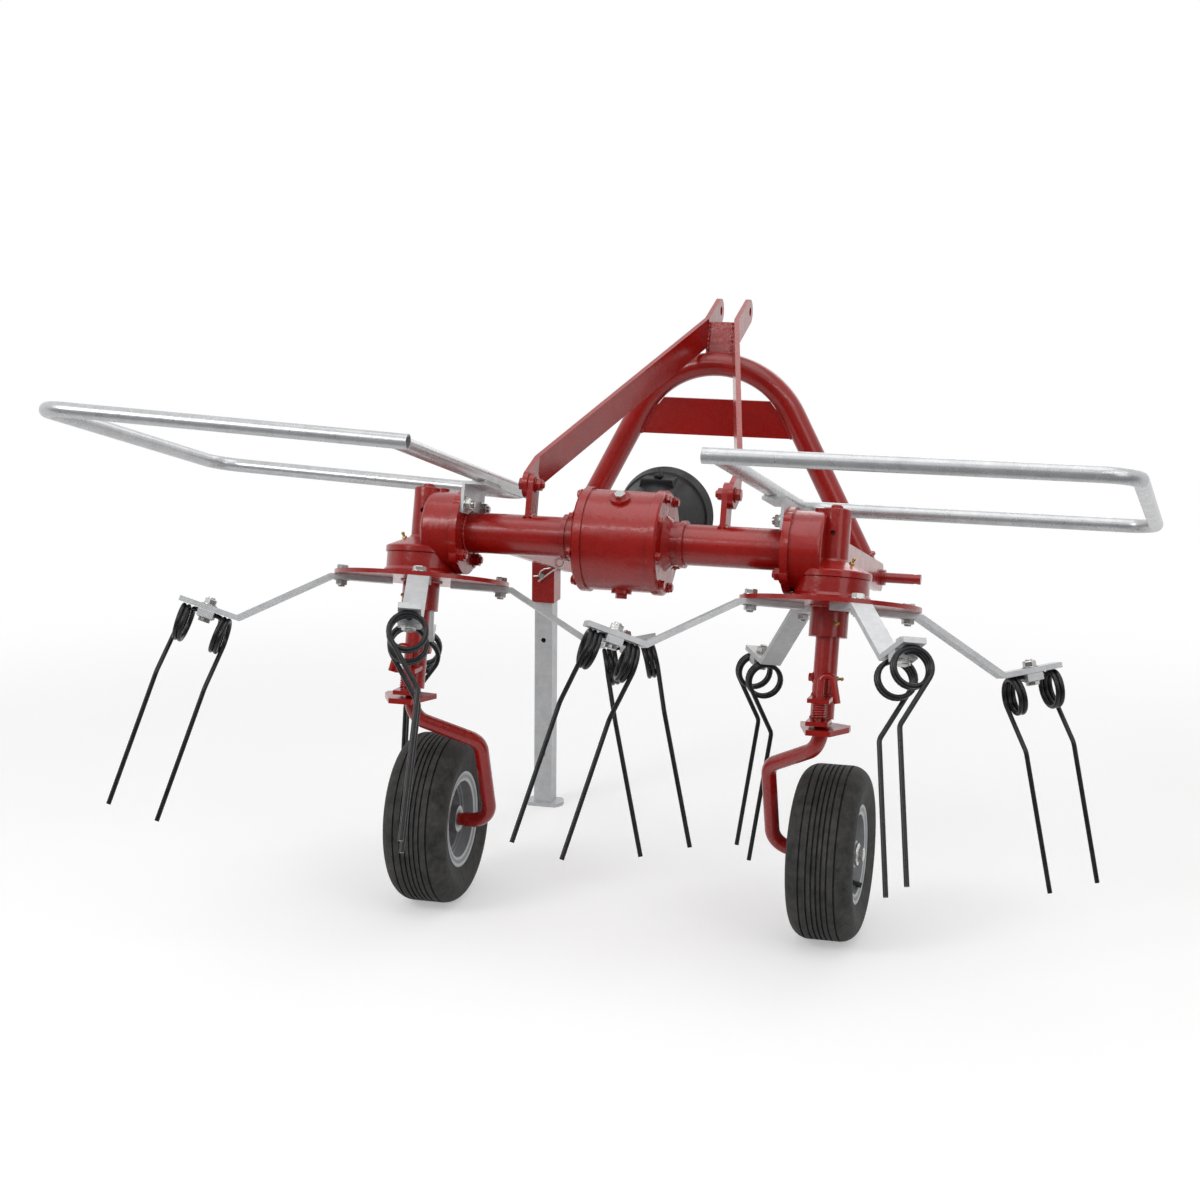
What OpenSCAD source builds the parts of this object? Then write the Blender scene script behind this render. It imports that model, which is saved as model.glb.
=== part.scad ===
// Rotary tedder for a small tractor: two tined rotors under a round beam, parked on its wheels and stand.
// Millimetres. X to the right, Y forward (towards the tractor), Z up, origin on the ground.

/* [Stance] */
// Height of the beam's axis above the ground
beam_height = 746; // [735:1:760]
// Forward lean of the rotors and of the whole frame
tilt = 15; // [14:0.5:16]
// Half the distance between the two rotor axes
rotor_x = 390; // [386:1:400]
// How far the beam's axis lies behind the frame's origin
beam_back = 143.5; // [0:0.5:200]

/* [Beam and gearbox] */
// Radius of the beam tubes
beam_r = 38; // [34:0.5:40]
// Half the length of the gearbox body
gearbox_half = 62; // [55:1:70]
// Radius of the gearbox body
gearbox_r = 93; // [86:1:96]
// Thickness of a gearbox cover's rim
cover_t = 18; // [12:1:22]
// How far a cover's rim stands out over the gearbox body
cover_lip = 4; // [2:0.5:8]
// Radius of the neck on a gearbox cover
neck_r = 41; // [40.5:0.5:46]
// Length of the neck on a gearbox cover
neck_len = 36; // [28:1:44]
// Radius of the weld collar where a beam tube meets its neck
collar_r = 44; // [42:0.5:47]
// Width of the weld collar
collar_w = 9; // [6:1:12]
// Radius of the raised ring round the filler plug
plug_boss_r = 19; // [16:0.5:24]
// Radius of the filler plug
plug_r = 11; // [9:0.5:13]

/* [Power input] */
// Radius of the input boss on the front of the gearbox
input_boss_r = 56; // [50:1:62]
// Distance from the beam's axis to the face of the input boss
input_boss_y = 150; // [140:1:165]
// Radius of the input shaft, over its splines
input_r = 17.5; // [16:0.5:19]
// Length of the input shaft outside the boss
input_len = 112; // [95:1:125]
// Depth of the six spline grooves
spline_depth = 3; // [2:0.25:4]
// Width of the six spline grooves
spline_w = 8; // [6:0.5:9]
// Radius of the guard bell's mouth
bell_r = 96; // [88:1:102]
// Length of the guard bell
bell_len = 162; // [150:1:170]
// Wall of the guard bell
bell_wall = 3.5; // [3:0.25:5]
// Length of the flared lip at the bell's mouth
bell_lip = 28; // [20:1:36]
// Height of the step between the bell's cone and its lip
bell_step = 4; // [3:0.5:6]
// How far the lip flares
bell_flare = 6; // [3:0.5:9]

/* [End housings] */
// Distance from the middle to the bolted flange joint
flange_x = 305; // [298:1:308]
// Thickness of each flange
flange_t = 14; // [10:1:16]
// Radius of the flanges
flange_r = 80; // [78:1:84]
// Radius of the circle of flange bolts
flange_bolt_r = 68; // [64:1:70]
// Radius of the four ears that carry the flange bolts
flange_ear_r = 17; // [15:0.5:19]
// Radius of the drum behind the flange
drum_r = 74; // [68:1:76]
// Length of the drum behind the flange
drum_len = 60; // [52:1:66]
// Radius of the drum's rounded edge
drum_round = 8; // [6:1:12]
// Radius of the column over the rotor's axis
column_r = 27; // [24:0.5:30]
// Height of the column's top over the beam's axis
column_top = 80; // [72:1:88]
// Radius of the round base over the disc
base_r = 69; // [64:1:72]
// How far the base's lip stands out
base_lip = 4; // [2:0.5:6]
// Height of the base
base_h = 50; // [44:1:56]
// Gap between the fixed base and the turning disc
base_gap = 5; // [5:0.5:8]
// Height of the cone between base and column
base_cone = 18; // [14:1:24]
// Thickness of the web between drum and column
web_t = 20; // [14:1:26]
// Height of the web's top over the beam's axis
web_top = 60; // [54:1:64]

/* [Rotors] */
// Distance of the disc's middle plane below the beam's axis
disc_drop = 93; // [90:1:97]
// Radius of the discs
disc_r = 165; // [155:1:175]
// Thickness of the discs
disc_t = 8; // [6:0.5:10]
// Radius of the hub under a disc
hub_r = 35; // [33:0.5:38]
// Length of the hub under a disc
hub_len = 56; // [48:1:62]
// Turn of the right rotor's first arm from the right
arm_phase = 28; // [22:1:32]
// Width of the arms
arm_w = 40; // [34:1:44]
// Thickness of the arms
arm_t = 10; // [8:0.5:12]
// Distance of an arm's inner end from the rotor's axis
arm_r0 = 55; // [50:1:60]
// Radius of the arm's first bend
arm_r1 = 170; // [166:1:180]
// Radius of the arm's second bend
arm_r2 = 338; // [330:1:345]
// Radius of the arm's outer end
arm_r3 = 448; // [445:1:455]
// Fall of the arm between its bends
arm_fall = 93; // [86:1:98]
// Rise of the arm's end from level
arm_end_rise = 15; // [13:0.5:17]

/* [Tines] */
// Diameter of the tine wire
wire_d = 9; // [7:0.5:10]
// Mean radius of a tine's coils
coil_r = 32; // [29:0.5:34]
// How far a coil's neighbouring turns sink into each other
coil_touch = 0.25; // [0.2:0.05:0.4]
// Clearance between the tines and the arms' undersides
tine_gap = 0.5; // [0.4:0.1:1]
// Turns in each coil
coil_turns = 4; // [3:1:4]
// Radius on which the tine's bolt sits
tine_bolt_r = 396; // [390:1:400]
// Distance between a tine's two legs
leg_gap = 104; // [98:1:110]
// Depth of a leg's knee below the coil's centre
knee_drop = 102; // [96:1:110]
// How far a leg's knee trails
knee_trail = 27; // [22:1:32]
// Length of a leg from its knee to its tip
leg_len = 262; // [245:1:270]
// How far a leg's tip trails
tip_trail = 21; // [15:1:28]
// Thickness of the clip that straps a tine to its arm
clip_t = 5; // [4:0.5:6]

/* [Guards] */
// Radius of the guard tubes
guard_r = 13.5; // [12:0.5:15]
// Wall of the guard tubes
guard_wall = 2.5; // [2:0.25:3.5]
// Height of the guards over the beam's axis
guard_z = 104; // [100:1:108]
// Distance of a guard's inner side from the middle
guard_in = 276; // [270:1:280]
// Distance of a guard's outer side from the middle
guard_out = 945; // [920:1:960]
// Distance of a guard's rear rail behind the beam
guard_back = 522; // [500:1:540]
// Distance of a guard's front rail ahead of the beam
guard_front = 262; // [240:1:280]
// Bend radius of the guards' corners
guard_bend = 55; // [45:1:70]
// How far a guard's open end stands past its inner side
guard_stub = 24; // [18:1:32]
// Roll of the left guard, its outer side up
guard_roll_left = 2.5; // [0:0.5:3]
// Thickness of the guard brackets
bracket_t = 6; // [5:0.5:8]
// Width of the guard brackets along the guard's side
bracket_w = 126; // [118:1:134]

/* [Hitch] */
// Thickness of the lower arms
lower_t = 15; // [12:1:18]
// Height of the lower arms
lower_h = 60; // [54:1:66]
// Distance of the lower arms' middle from the machine's middle
lower_x = 345; // [342:1:348]
// Distance of the lower pins ahead of the beam
pin_y = 850; // [840:1:860]
// Height of the lower pins over the beam's axis, square to the frame
pin_z = 22; // [18:1:26]
// Radius of the lower pins
pin_r = 11; // [10.5:0.25:11]
// Length of the lower pins past their collars
pin_len = 76; // [70:1:80]
// Length of a lower pin's collar
pin_collar = 9; // [7:1:12]
// Radius of a lower pin's collar
pin_collar_r = 17; // [15:0.5:19]
// Radius of the linch pin hole in each lower pin
linch_r = 5.75; // [5:0.25:6]
// Distance of the linch pin hole from the pin's end
linch_back = 12; // [10:1:15]
// Radius of the arch tube
arch_r = 25; // [22:0.5:27]
// Distance of the arch's feet from the middle
arch_foot_x = 322; // [318:1:326]
// Distance of the arch's feet ahead of the beam
arch_foot_y = 760; // [745:1:770]
// Backward lean of the arch, square to the frame
arch_lean = 14; // [12:0.5:16]
// Splay of each arch leg
arch_splay = 27.5; // [26:0.5:29]
// Length of the arch from its feet to its top
arch_rise = 400; // [396:1:404]
// Thickness of the cross plate in the arch
cross_t = 10; // [8:1:12]
// Height of the cross plate
cross_h = 78; // [68:1:86]
// Width of the weld gap between the cross plate and the arch
weld_gap = 0.9; // [0.5:0.1:1]
// Height of the cross plate's lower edge over the arch's feet
cross_low = 248; // [240:1:256]
// Distance of a stay's lower tab from the middle
stay_x = 196; // [190:1:200]
// Distance of a stay's lower bolt ahead of the beam
stay_y = 0; // [-6:1:6]
// Height of a stay's lower bolt over the beam's axis
stay_z = 96; // [92:1:100]
// Width of the stay bars
stay_w = 53; // [48:1:56]
// Thickness of the stay bars
stay_t = 10; // [8:0.5:12]
// Distance of a stay's lower fold ahead of the beam
tab_y = 45; // [40:1:55]
// Distance of a stay's upper fold ahead of the beam
fold_y = 670; // [660:1:680]
// Half the distance between the two ears, to their middles
ear_x = 32; // [30:0.5:34]
// Distance of the top link hole ahead of the beam
top_y = 779; // [770:1:788]
// Height of the top link hole over the beam's axis, square to the frame
top_z = 575; // [570:1:580]
// Radius of the top link hole
top_hole_r = 9.75; // [9.5:0.25:12.5]
// Thickness of the plate between the stays
spacer_t = 10; // [8:1:12]
// Height of the plate between the stays
spacer_h = 84; // [78:1:90]
// Thickness of the stay lugs on the beam
lug_t = 11; // [9:0.5:12]
// Width of the stay lugs
lug_w = 44; // [40:1:50]
// Radius of the bolt holes in the lugs and stays
lug_hole_r = 8; // [6:0.5:9]

/* [Stand] */
// Outer width of the stand's square leg
stand_w = 40; // [36:1:42]
// Wall of the stand's square leg
stand_wall = 4; // [3:0.5:5]
// Clearance between the stand's leg and its sleeve
stand_clear = 0.3; // [0.3:0.1:0.5]
// Wall of the stand's sleeve
sleeve_wall = 5; // [4:0.5:6]
// Distance of the stand ahead of the beam, on the level
stand_y = 758; // [745:1:766]
// Length of the sleeve
sleeve_len = 126; // [116:1:136]
// How far the sleeve's top lies above the middle of the arm beside it
sleeve_rise = 24.3; // [18:0.1:30]
// How far the stand's top lies above the middle of the arm
stand_rise = 40.3; // [36:0.1:60]
// How far the pin through the sleeve lies below the middle of the arm
stand_pin_drop = 40.7; // [36:0.1:46]
// Distances of the stand's adjusting holes below the pin
stand_holes = [147, 406];
// Radius of the stand's adjusting holes
stand_hole_r = 5.5; // [5:0.25:6.5]
// Length of the foot plate
foot_l = 84; // [76:1:92]
// Width of the foot plate
foot_w = 58; // [52:1:64]
// Thickness of the foot plate
foot_t = 8; // [6:0.5:10]

/* [Legs and casters] */
// Radius of the fixed legs under the rotors
leg_r = 21.5; // [20:0.5:23]
// Depth of a leg's lower end below the beam's axis
leg_end = 300; // [294:1:304]
// Radius of a caster's bent bar
bar_r = 14; // [13:0.5:15]
// Running clearance of shafts in their bores
shaft_clear = 0.3; // [0.2:0.05:0.4]
// Gap between a leg's end and the caster's lock plate
lock_gap = 10.5; // [10:0.5:12]
// Lean of the lock plates and brackets back towards the level
lock_lean = 12; // [8:0.5:13]
// Thickness of the lock plates
lock_t = 10; // [8:0.5:12]
// Distance between the two ears of a lock bracket
ear_gap = 41; // [36:1:46]
// Thickness of the ears of a lock bracket
ear_t = 8; // [6:0.5:9]
// Bend radius of the caster bars
bar_bend = 42; // [36:1:46]
// Distance of a caster bar's upright from the machine's middle
bar_x = 280; // [276:1:284]
// Distance of the bar's upper bend ahead of the beam, on the level
bar_y = -6; // [-12:1:0]
// Height of the bar's upper bend
bar_z = 342; // [336:1:348]
// Distance of the wheel axles ahead of the beam, on the level
wheel_y = 60; // [52:1:66]
// Distance of the wheels' middles from the machine's middle
wheel_x = 391; // [388:1:396]
// Outer radius of the tyres
tyre_r = 165; // [161:1:169]
// Width of the tyres
tyre_w = 125; // [115:1:128]
// Radius of the tyres' shoulders
tyre_shoulder = 34; // [28:1:44]
// How far the sidewalls draw in towards the rims
tyre_draw = 9; // [4:0.5:14]
// Radius of the rims' edges
rim_r = 94; // [88:1:97]
// Half the width of the rims
rim_half = 53; // [48:1:56]
// Height of the rims' edges over the tyres' seats
rim_edge = 16; // [12:0.5:18]
// Depth of the well in the middle of the rims
rim_well = 12; // [8:0.5:16]
// Wall of the rims
rim_wall = 3; // [2.5:0.25:4]
// Clearance between a tyre and its rim
tyre_gap = 0.3; // [0.2:0.05:0.5]
// Radius of the wheel hubs
hub_out = 26; // [22:0.5:30]
// Half the length of the wheel hubs
hub_half = 46; // [40:1:50]
// Radius of the wheel axles
axle_r = 12.5; // [11:0.5:13.5]
// Depth of the grooves round the tyres
groove_d = 5; // [3:0.5:7]
// Width of the grooves round the tyres
groove_w = 3.2; // [2.5:0.1:5]
// Distances of the grooves from a tyre's middle
groove_at = [0, 9, 19, 33];

/* [Hidden] */
$fn = 48;

RED = [0.72, 0.05, 0.06];
ZINC = [0.74, 0.75, 0.76];
BLACK = [0.06, 0.06, 0.07];
RUBBER = [0.12, 0.12, 0.12];
SILVER = [0.66, 0.67, 0.68];
PLASTIC = [0.17, 0.18, 0.2];

bend_swell = 0.05;
round_lap = 0.2;
wheel_sides = 28;
arm_count = 4;
arm_step = 360 / arm_count;
neck_x = gearbox_half + cover_t + neck_len;
disc_top = -disc_drop + disc_t / 2;
disc_under = -disc_drop - disc_t / 2;
base_z = disc_top + base_gap;
arm_z1 = disc_under - arm_t / 2;
arm_z2 = arm_z1 - arm_fall;
arm_z3 = arm_z2 + (arm_r3 - arm_r2) * tan(arm_end_rise);
tine_z = arm_z2 + (tine_bolt_r - arm_r2) * tan(arm_end_rise) - (arm_t / 2 + tine_gap) / cos(arm_end_rise);
wire_r = wire_d / 2;
coil_out = coil_r + wire_r;
coil_len = coil_turns * wire_d;
drum_x = flange_x + flange_t;
bolt_at = flange_bolt_r * sin(45);
hitch_z = beam_height + pin_z * cos(tilt) - (stand_y - pin_z * sin(tilt)) * tan(tilt);
sleeve_low = hitch_z + sleeve_rise - sleeve_len;
stand_top = hitch_z + stand_rise;
stand_pin_z = hitch_z - stand_pin_drop;
stand_x = -(lower_x + lower_t / 2 + sleeve_wall + stand_clear + stand_w / 2);
arch_apex = arch_foot_x / tan(arch_splay);
arch_bend_r = (arch_apex - arch_rise) / (1 / sin(arch_splay) - 1);
arch_mid_z = arch_apex - arch_bend_r / sin(arch_splay);
arch_reach = arch_r + weld_gap;
stay_turn = atan((stay_x - ear_x) / (fold_y - tab_y));
stay_rise = atan((top_z - stay_z) / (top_y - stay_y));
bell_root = input_boss_y;
lock_z = leg_end + lock_gap;
lug_y = 150;

// A point of the machine's frame, which leans forward about the beam, as a point on the level
function level(p) = [p[0], p[1] * cos(tilt) + p[2] * sin(tilt), p[2] * cos(tilt) - p[1] * sin(tilt)];
function unit(v) = v / norm(v);
function turn_of(a, b, c) = acos(unit(b - a) * unit(c - b));
function set_back(a, b, c, bend_r) = bend_r * tan(turn_of(a, b, c) / 2);

// Places its children in the level frame that has its origin on the beam
module at_beam() {
    translate([0, -beam_back, beam_height])
        children();
}

// Places its children in the machine's leaning frame
module leaning() {
    at_beam()
        rotate([-tilt, 0, 0])
            children();
}

// The right-hand piece as it is, or its mirror image on the left
module on_side(side) {
    mirror([side < 0 ? 1 : 0, 0, 0])
        children();
}

// A round bar from point a to point b
module rod(a, b, r) {
    d = b - a;
    translate(a)
        rotate([0, acos(d[2] / norm(d)), atan2(d[1], d[0])])
            cylinder(r = r, h = norm(d));
}

// The round of a bent bar at corner b, between points a and c
module elbow(a, b, c, r, bend_r) {
    d1 = unit(b - a);
    d2 = unit(c - b);
    n = unit(d2 - (d1 * d2) * d1);
    k = cross(d1, n);
    m = b - d1 * set_back(a, b, c, bend_r) + n * bend_r;
    multmatrix([[-n[0], d1[0], k[0], m[0]], [-n[1], d1[1], k[1], m[1]], [-n[2], d1[2], k[2], m[2]]])
        rotate_extrude(angle = turn_of(a, b, c))
            translate([bend_r, 0])
                circle(r = r + bend_swell);
}

// A round bar bent along a short list of corners; its straight stretches run a little way into the bends
module bent_rod(p, r, bend_r) {
    last = len(p) - 1;
    sink = sqrt(bend_swell * bend_r);
    for (i = [0 : last - 1]) {
        d = unit(p[i + 1] - p[i]);
        from = i == 0 ? p[i] : p[i] + d * (set_back(p[i - 1], p[i], p[i + 1], bend_r) - sink);
        to = i == last - 1 ? p[i + 1] : p[i + 1] - d * (set_back(p[i], p[i + 1], p[i + 2], bend_r) - sink);
        rod(from, to, r);
    }
    for (i = [1 : last - 1])
        elbow(p[i - 1], p[i], p[i + 1], r, bend_r);
}

module beam_tube(side) {
    color(RED)
        leaning()
            on_side(side)
                translate([neck_x, 0, 0])
                    rotate([0, 90, 0])
                        cylinder(r = beam_r, h = flange_x - neck_x);
}

module gearbox_body() {
    color(RED)
        difference() {
            union() {
                leaning() {
                    rotate([0, 90, 0])
                        cylinder(r = gearbox_r, h = 2 * gearbox_half, center = true);
                    rotate([40, 0, 0])
                        cylinder(r = plug_boss_r, h = gearbox_r + 6);
                    rotate([180, 0, 0])
                        cylinder(r = plug_boss_r, h = gearbox_r + 5);
                }
                at_beam()
                    rotate([-90, 0, 0])
                        cylinder(r = input_boss_r, h = input_boss_y);
            }
            at_beam()
                translate([0, input_boss_y - 24, 0])
                    rotate([-90, 0, 0])
                        cylinder(r = input_r + shaft_clear, h = 40);
        }
}

module gearbox_cover(side) {
    color(RED)
        leaning()
            on_side(side)
                translate([gearbox_half, 0, 0])
                    rotate([0, 90, 0]) {
                        cylinder(r = gearbox_r + cover_lip, h = cover_t - 4);
                        translate([0, 0, cover_t - 4])
                            cylinder(r1 = gearbox_r + cover_lip, r2 = gearbox_r, h = 4);
                        translate([0, 0, cover_t])
                            cylinder(r1 = neck_r + 12, r2 = neck_r, h = 12);
                        cylinder(r = neck_r, h = cover_t + neck_len);
                        translate([0, 0, cover_t + neck_len - collar_w])
                            cylinder(r = collar_r, h = collar_w);
                    }
}

module gearbox_plugs() {
    color(SILVER)
        leaning() {
            rotate([40, 0, 0])
                translate([0, 0, gearbox_r + 6])
                    cylinder(r = plug_r, h = 7, $fn = 6);
            rotate([180, 0, 0])
                translate([0, 0, gearbox_r + 5])
                    cylinder(r = plug_r, h = 9, $fn = 6);
        }
}

// Half section of the guard bell: radius and distance along its axis
module bell_section() {
    collar = input_boss_r + bell_step;
    lip_r = bell_r - bell_flare;
    lip_y = bell_len - bell_lip;
    polygon([
        [input_r + 10, 0],
        [input_boss_r, 0],
        [collar, bell_step],
        [collar, 4 * bell_step],
        [lip_r - bell_step, lip_y - bell_step],
        [lip_r, lip_y],
        [bell_r, bell_len],
        [bell_r - bell_wall, bell_len],
        [lip_r - bell_wall, lip_y + bell_wall],
        [lip_r - bell_step - bell_wall, lip_y - bell_step + bell_wall],
        [collar - bell_wall, 4 * bell_step + bell_wall],
        [collar - bell_wall, bell_wall],
        [input_r + 10, bell_wall]
    ]);
}

module pto_guard() {
    color(PLASTIC)
        at_beam()
            translate([0, bell_root, 0])
                rotate([-90, 0, 0])
                    rotate_extrude($fn = 96)
                        bell_section();
}

module pto_shaft() {
    color(SILVER)
        at_beam()
            translate([0, input_boss_y - 22, 0])
                rotate([-90, 0, 0])
                    difference() {
                        cylinder(r = input_r, h = 22 + input_len);
                        for (i = [0 : 5])
                            rotate(i * 60)
                                translate([input_r - spline_depth, -spline_w / 2, 40])
                                    cube([spline_depth + 2, spline_w, input_len]);
                    }
}

module flange_plate(x) {
    translate([x, 0, 0])
        rotate([0, 90, 0])
            linear_extrude(flange_t)
                union() {
                    circle(r = flange_r);
                    for (a = [45 : 90 : 315])
                        rotate(a)
                            translate([flange_bolt_r, 0])
                                circle(r = flange_ear_r);
                }
}

// Half section of the drum, its outer edge rounded
module drum_section() {
    square([drum_r - drum_round, drum_len]);
    square([drum_r, drum_len - drum_round]);
    translate([drum_r - drum_round, drum_len - drum_round])
        circle(r = drum_round);
}

// Half section of the turned part of a housing: skirt, lip, cone, column and cap
module base_section() {
    lip = base_r + base_lip;
    top = column_top - base_z;
    polygon([
        [0, 0],
        [lip, 0],
        [lip, 4],
        [base_r, 9],
        [base_r, base_h - 14],
        [lip - 1, base_h - 12],
        [lip - 1, base_h - 2],
        [lip - 3, base_h],
        [column_r + 3, base_h + base_cone],
        [column_r, base_h + base_cone + 4],
        [column_r, top - 2],
        [column_r - 2, top],
        [11, top],
        [11, top + 5],
        [9, top + 7],
        [0, top + 7]
    ]);
}

module housing(side) {
    color(RED)
        leaning()
            on_side(side)
                difference() {
                    union() {
                        flange_plate(flange_x);
                        translate([drum_x - 1, 0, 0])
                            rotate([0, 90, 0])
                                rotate_extrude()
                                    drum_section();
                        translate([rotor_x, 0, base_z])
                            rotate_extrude()
                                base_section();
                        translate([drum_x, -web_t / 2, base_z + base_h / 2])
                            cube([rotor_x - drum_x, web_t, web_top - base_z - base_h / 2]);
                        translate([lower_x - lower_t / 2 - 14, 20, pin_z - lower_h / 2])
                            cube([14, lug_y - 20, lower_h]);
                        translate([drum_x + drum_len - 17, 0, 0])
                            cylinder(r = 12, h = drum_r + 5);
                    }
                    translate([rotor_x, -column_r / 2, web_top - 26])
                        rotate([90, 0, 0])
                            cylinder(r = 5, h = 2 * column_r);
                }
}

// The corners of a guard: open end, outer rear, outer front, inner front and inner rear
module guard_rail(side) {
    corners = [
        [guard_in - guard_stub, -guard_back, 0],
        [guard_out, -guard_back, 0],
        [guard_out, guard_front, 0],
        [guard_in, guard_front, 0],
        [guard_in, -guard_back, 0]
    ];
    roll = side < 0 ? guard_roll_left : 0;
    color(ZINC)
        leaning()
            on_side(side)
                translate([guard_in, 0, guard_z])
                    rotate([0, -roll, 0])
                        translate([-guard_in, 0, 0])
                            difference() {
                                bent_rod(corners, guard_r, guard_bend);
                                rod(corners[0] - [1, 0, 0], corners[0] + [60, 0, 0], guard_r - guard_wall);
                            }
}

module guard_bracket(side) {
    top = guard_z - guard_r;
    color(ZINC)
        leaning()
            on_side(side)
                difference() {
                    union() {
                        translate([flange_x - bracket_t, -bracket_w / 2, 0])
                            cube([bracket_t, bracket_w, top]);
                        translate([guard_in - guard_r, -bracket_w / 2, top - bracket_t])
                            cube([flange_x - guard_in + guard_r, bracket_w, bracket_t]);
                    }
                    rotate([0, 90, 0])
                        cylinder(r = beam_r + 2, h = flange_x + 1);
                    translate([0, -bracket_w, -1])
                        cube([flange_x + 1, 2 * bracket_w, bolt_at - flange_ear_r + 1]);
                }
}

// Places its children in the arch's own plane, feet at z = 0
module in_arch() {
    translate([0, arch_foot_y, pin_z + lower_h / 2])
        rotate([arch_lean, 0, 0])
            children();
}

module arch_tube() {
    foot = 40;
    ends = [arch_foot_x + foot * tan(arch_splay), 0, -foot];
    bent_rod([[-ends[0], 0, ends[2]], [0, 0, arch_apex], ends], arch_r, arch_bend_r);
}

module hitch_arch() {
    color(RED)
        leaning()
            difference() {
                in_arch()
                    arch_tube();
                for (side = [-1, 1])
                    on_side(side)
                        translate([arch_foot_x - 4 * arch_r, 0, pin_z - lower_h])
                            cube([8 * arch_r, 2 * arch_foot_y, 1.5 * lower_h]);
            }
}

// Half the clear width inside the arch at a height over its feet: straight legs, then the round crown
function arch_inside(z) =
    z < arch_mid_z + (arch_bend_r - arch_reach) * sin(arch_splay)
        ? arch_foot_x - z * tan(arch_splay) - arch_reach / cos(arch_splay)
        : sqrt(pow(arch_bend_r - arch_reach, 2) - pow(z - arch_mid_z, 2));

module hitch_cross_plate() {
    heights = [for (i = [0 : 3]) cross_low + i * cross_h / 3];
    color(RED)
        leaning()
            in_arch()
                rotate([90, 0, 0])
                    linear_extrude(cross_t, center = true)
                        polygon(concat(
                            [for (z = heights) [arch_inside(z), z]],
                            [for (i = [3 : -1 : 0]) [-arch_inside(heights[i]), heights[i]]]
                        ));
}

// A stay seen from above: tab, bar and ear as one folded strip
module stay_plan() {
    half = stay_t / 2;
    bend = half * tan(stay_turn / 2);
    far = stay_w;
    polygon([
        [stay_x + half, stay_y - far],
        [stay_x + half, tab_y + bend],
        [ear_x + half, fold_y + bend],
        [ear_x + half, top_y + far],
        [ear_x - half, top_y + far],
        [ear_x - half, fold_y - bend],
        [stay_x - half, tab_y - bend],
        [stay_x - half, stay_y - far]
    ]);
}

// A stay seen from the side: y and z, with round ends and their two holes
module stay_outline() {
    difference() {
        union() {
            translate([stay_y, stay_z])
                rotate(stay_rise)
                    translate([0, -stay_w / 2])
                        square([norm([top_y - stay_y, top_z - stay_z]), stay_w]);
            translate([stay_y, stay_z])
                circle(r = stay_w / 2 + round_lap);
            translate([top_y, top_z])
                circle(r = stay_w / 2 + round_lap);
        }
        translate([stay_y, stay_z])
            circle(r = lug_hole_r);
        translate([top_y, top_z])
            circle(r = top_hole_r);
    }
}

module top_stay(side) {
    color(RED)
        leaning()
            on_side(side)
                intersection() {
                    linear_extrude(2 * top_z)
                        stay_plan();
                    rotate([90, 0, 90])
                        linear_extrude(2 * stay_x)
                            stay_outline();
                }
}

// The plate between the stays, seated on the arch's top
module mast_spacer() {
    crest_y = arch_foot_y - arch_rise * sin(arch_lean);
    crest_z = pin_z + lower_h / 2 + arch_rise * cos(arch_lean);
    rear = crest_y + 8;
    front = rear + spacer_t;
    inside = ear_x - stay_t / 2 / cos(stay_turn);
    rear_half = inside + (fold_y - rear) * tan(stay_turn);
    front_half = inside + (fold_y - front) * tan(stay_turn);
    color(RED)
        leaning()
            difference() {
                translate([0, 0, crest_z + 8])
                    linear_extrude(spacer_h)
                        polygon([[-rear_half, rear], [rear_half, rear], [front_half, front], [-front_half, front]]);
                in_arch()
                    arch_tube();
            }
}

module stay_lug(side) {
    foot = beam_r - 6;
    color(RED)
        leaning()
            on_side(side)
                difference() {
                    translate([stay_x - stay_t / 2 - lug_t, stay_y, 0])
                        rotate([90, 0, 90])
                            linear_extrude(lug_t)
                                difference() {
                                    union() {
                                        translate([-lug_w / 2, foot - lug_w / 2])
                                            square([lug_w, stay_z - foot + lug_w / 2]);
                                        translate([0, stay_z])
                                            circle(d = lug_w);
                                    }
                                    translate([0, stay_z])
                                        circle(r = lug_hole_r);
                                }
                    rotate([0, 90, 0])
                        cylinder(r = beam_r, h = flange_x);
                    translate([0, -beam_r - lug_w, -beam_r - lug_w])
                        cube([flange_x, 2 * (beam_r + lug_w), beam_r + lug_w]);
                }
}

module lower_arm(side) {
    rear = lug_y - 62;
    color(RED)
        leaning()
            on_side(side)
                difference() {
                    translate([lower_x, 0, 0])
                        rotate([90, 0, 90])
                            linear_extrude(lower_t, center = true)
                                union() {
                                    translate([rear, pin_z - lower_h / 2])
                                        square([pin_y - rear, lower_h]);
                                    translate([pin_y, pin_z])
                                        circle(d = lower_h);
                                }
                    translate([lower_x - lower_t, pin_y, pin_z])
                        rotate([0, 90, 0])
                            cylinder(r = pin_r, h = 2 * lower_t);
                }
}

module hitch_pin(side) {
    root = lower_x - lower_t / 2;
    face = lower_x + lower_t / 2;
    color(RED)
        leaning()
            on_side(side)
                translate([0, pin_y, pin_z])
                    difference() {
                        union() {
                            translate([root, 0, 0])
                                rotate([0, 90, 0])
                                    cylinder(r = pin_r, h = lower_t + pin_collar + pin_len);
                            translate([face, 0, 0])
                                rotate([0, 90, 0])
                                    cylinder(r = pin_collar_r, h = pin_collar);
                        }
                        translate([face + pin_collar + pin_len - linch_back, 0, -2 * pin_r])
                            cylinder(r = linch_r, h = 4 * pin_r);
                    }
}

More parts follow.
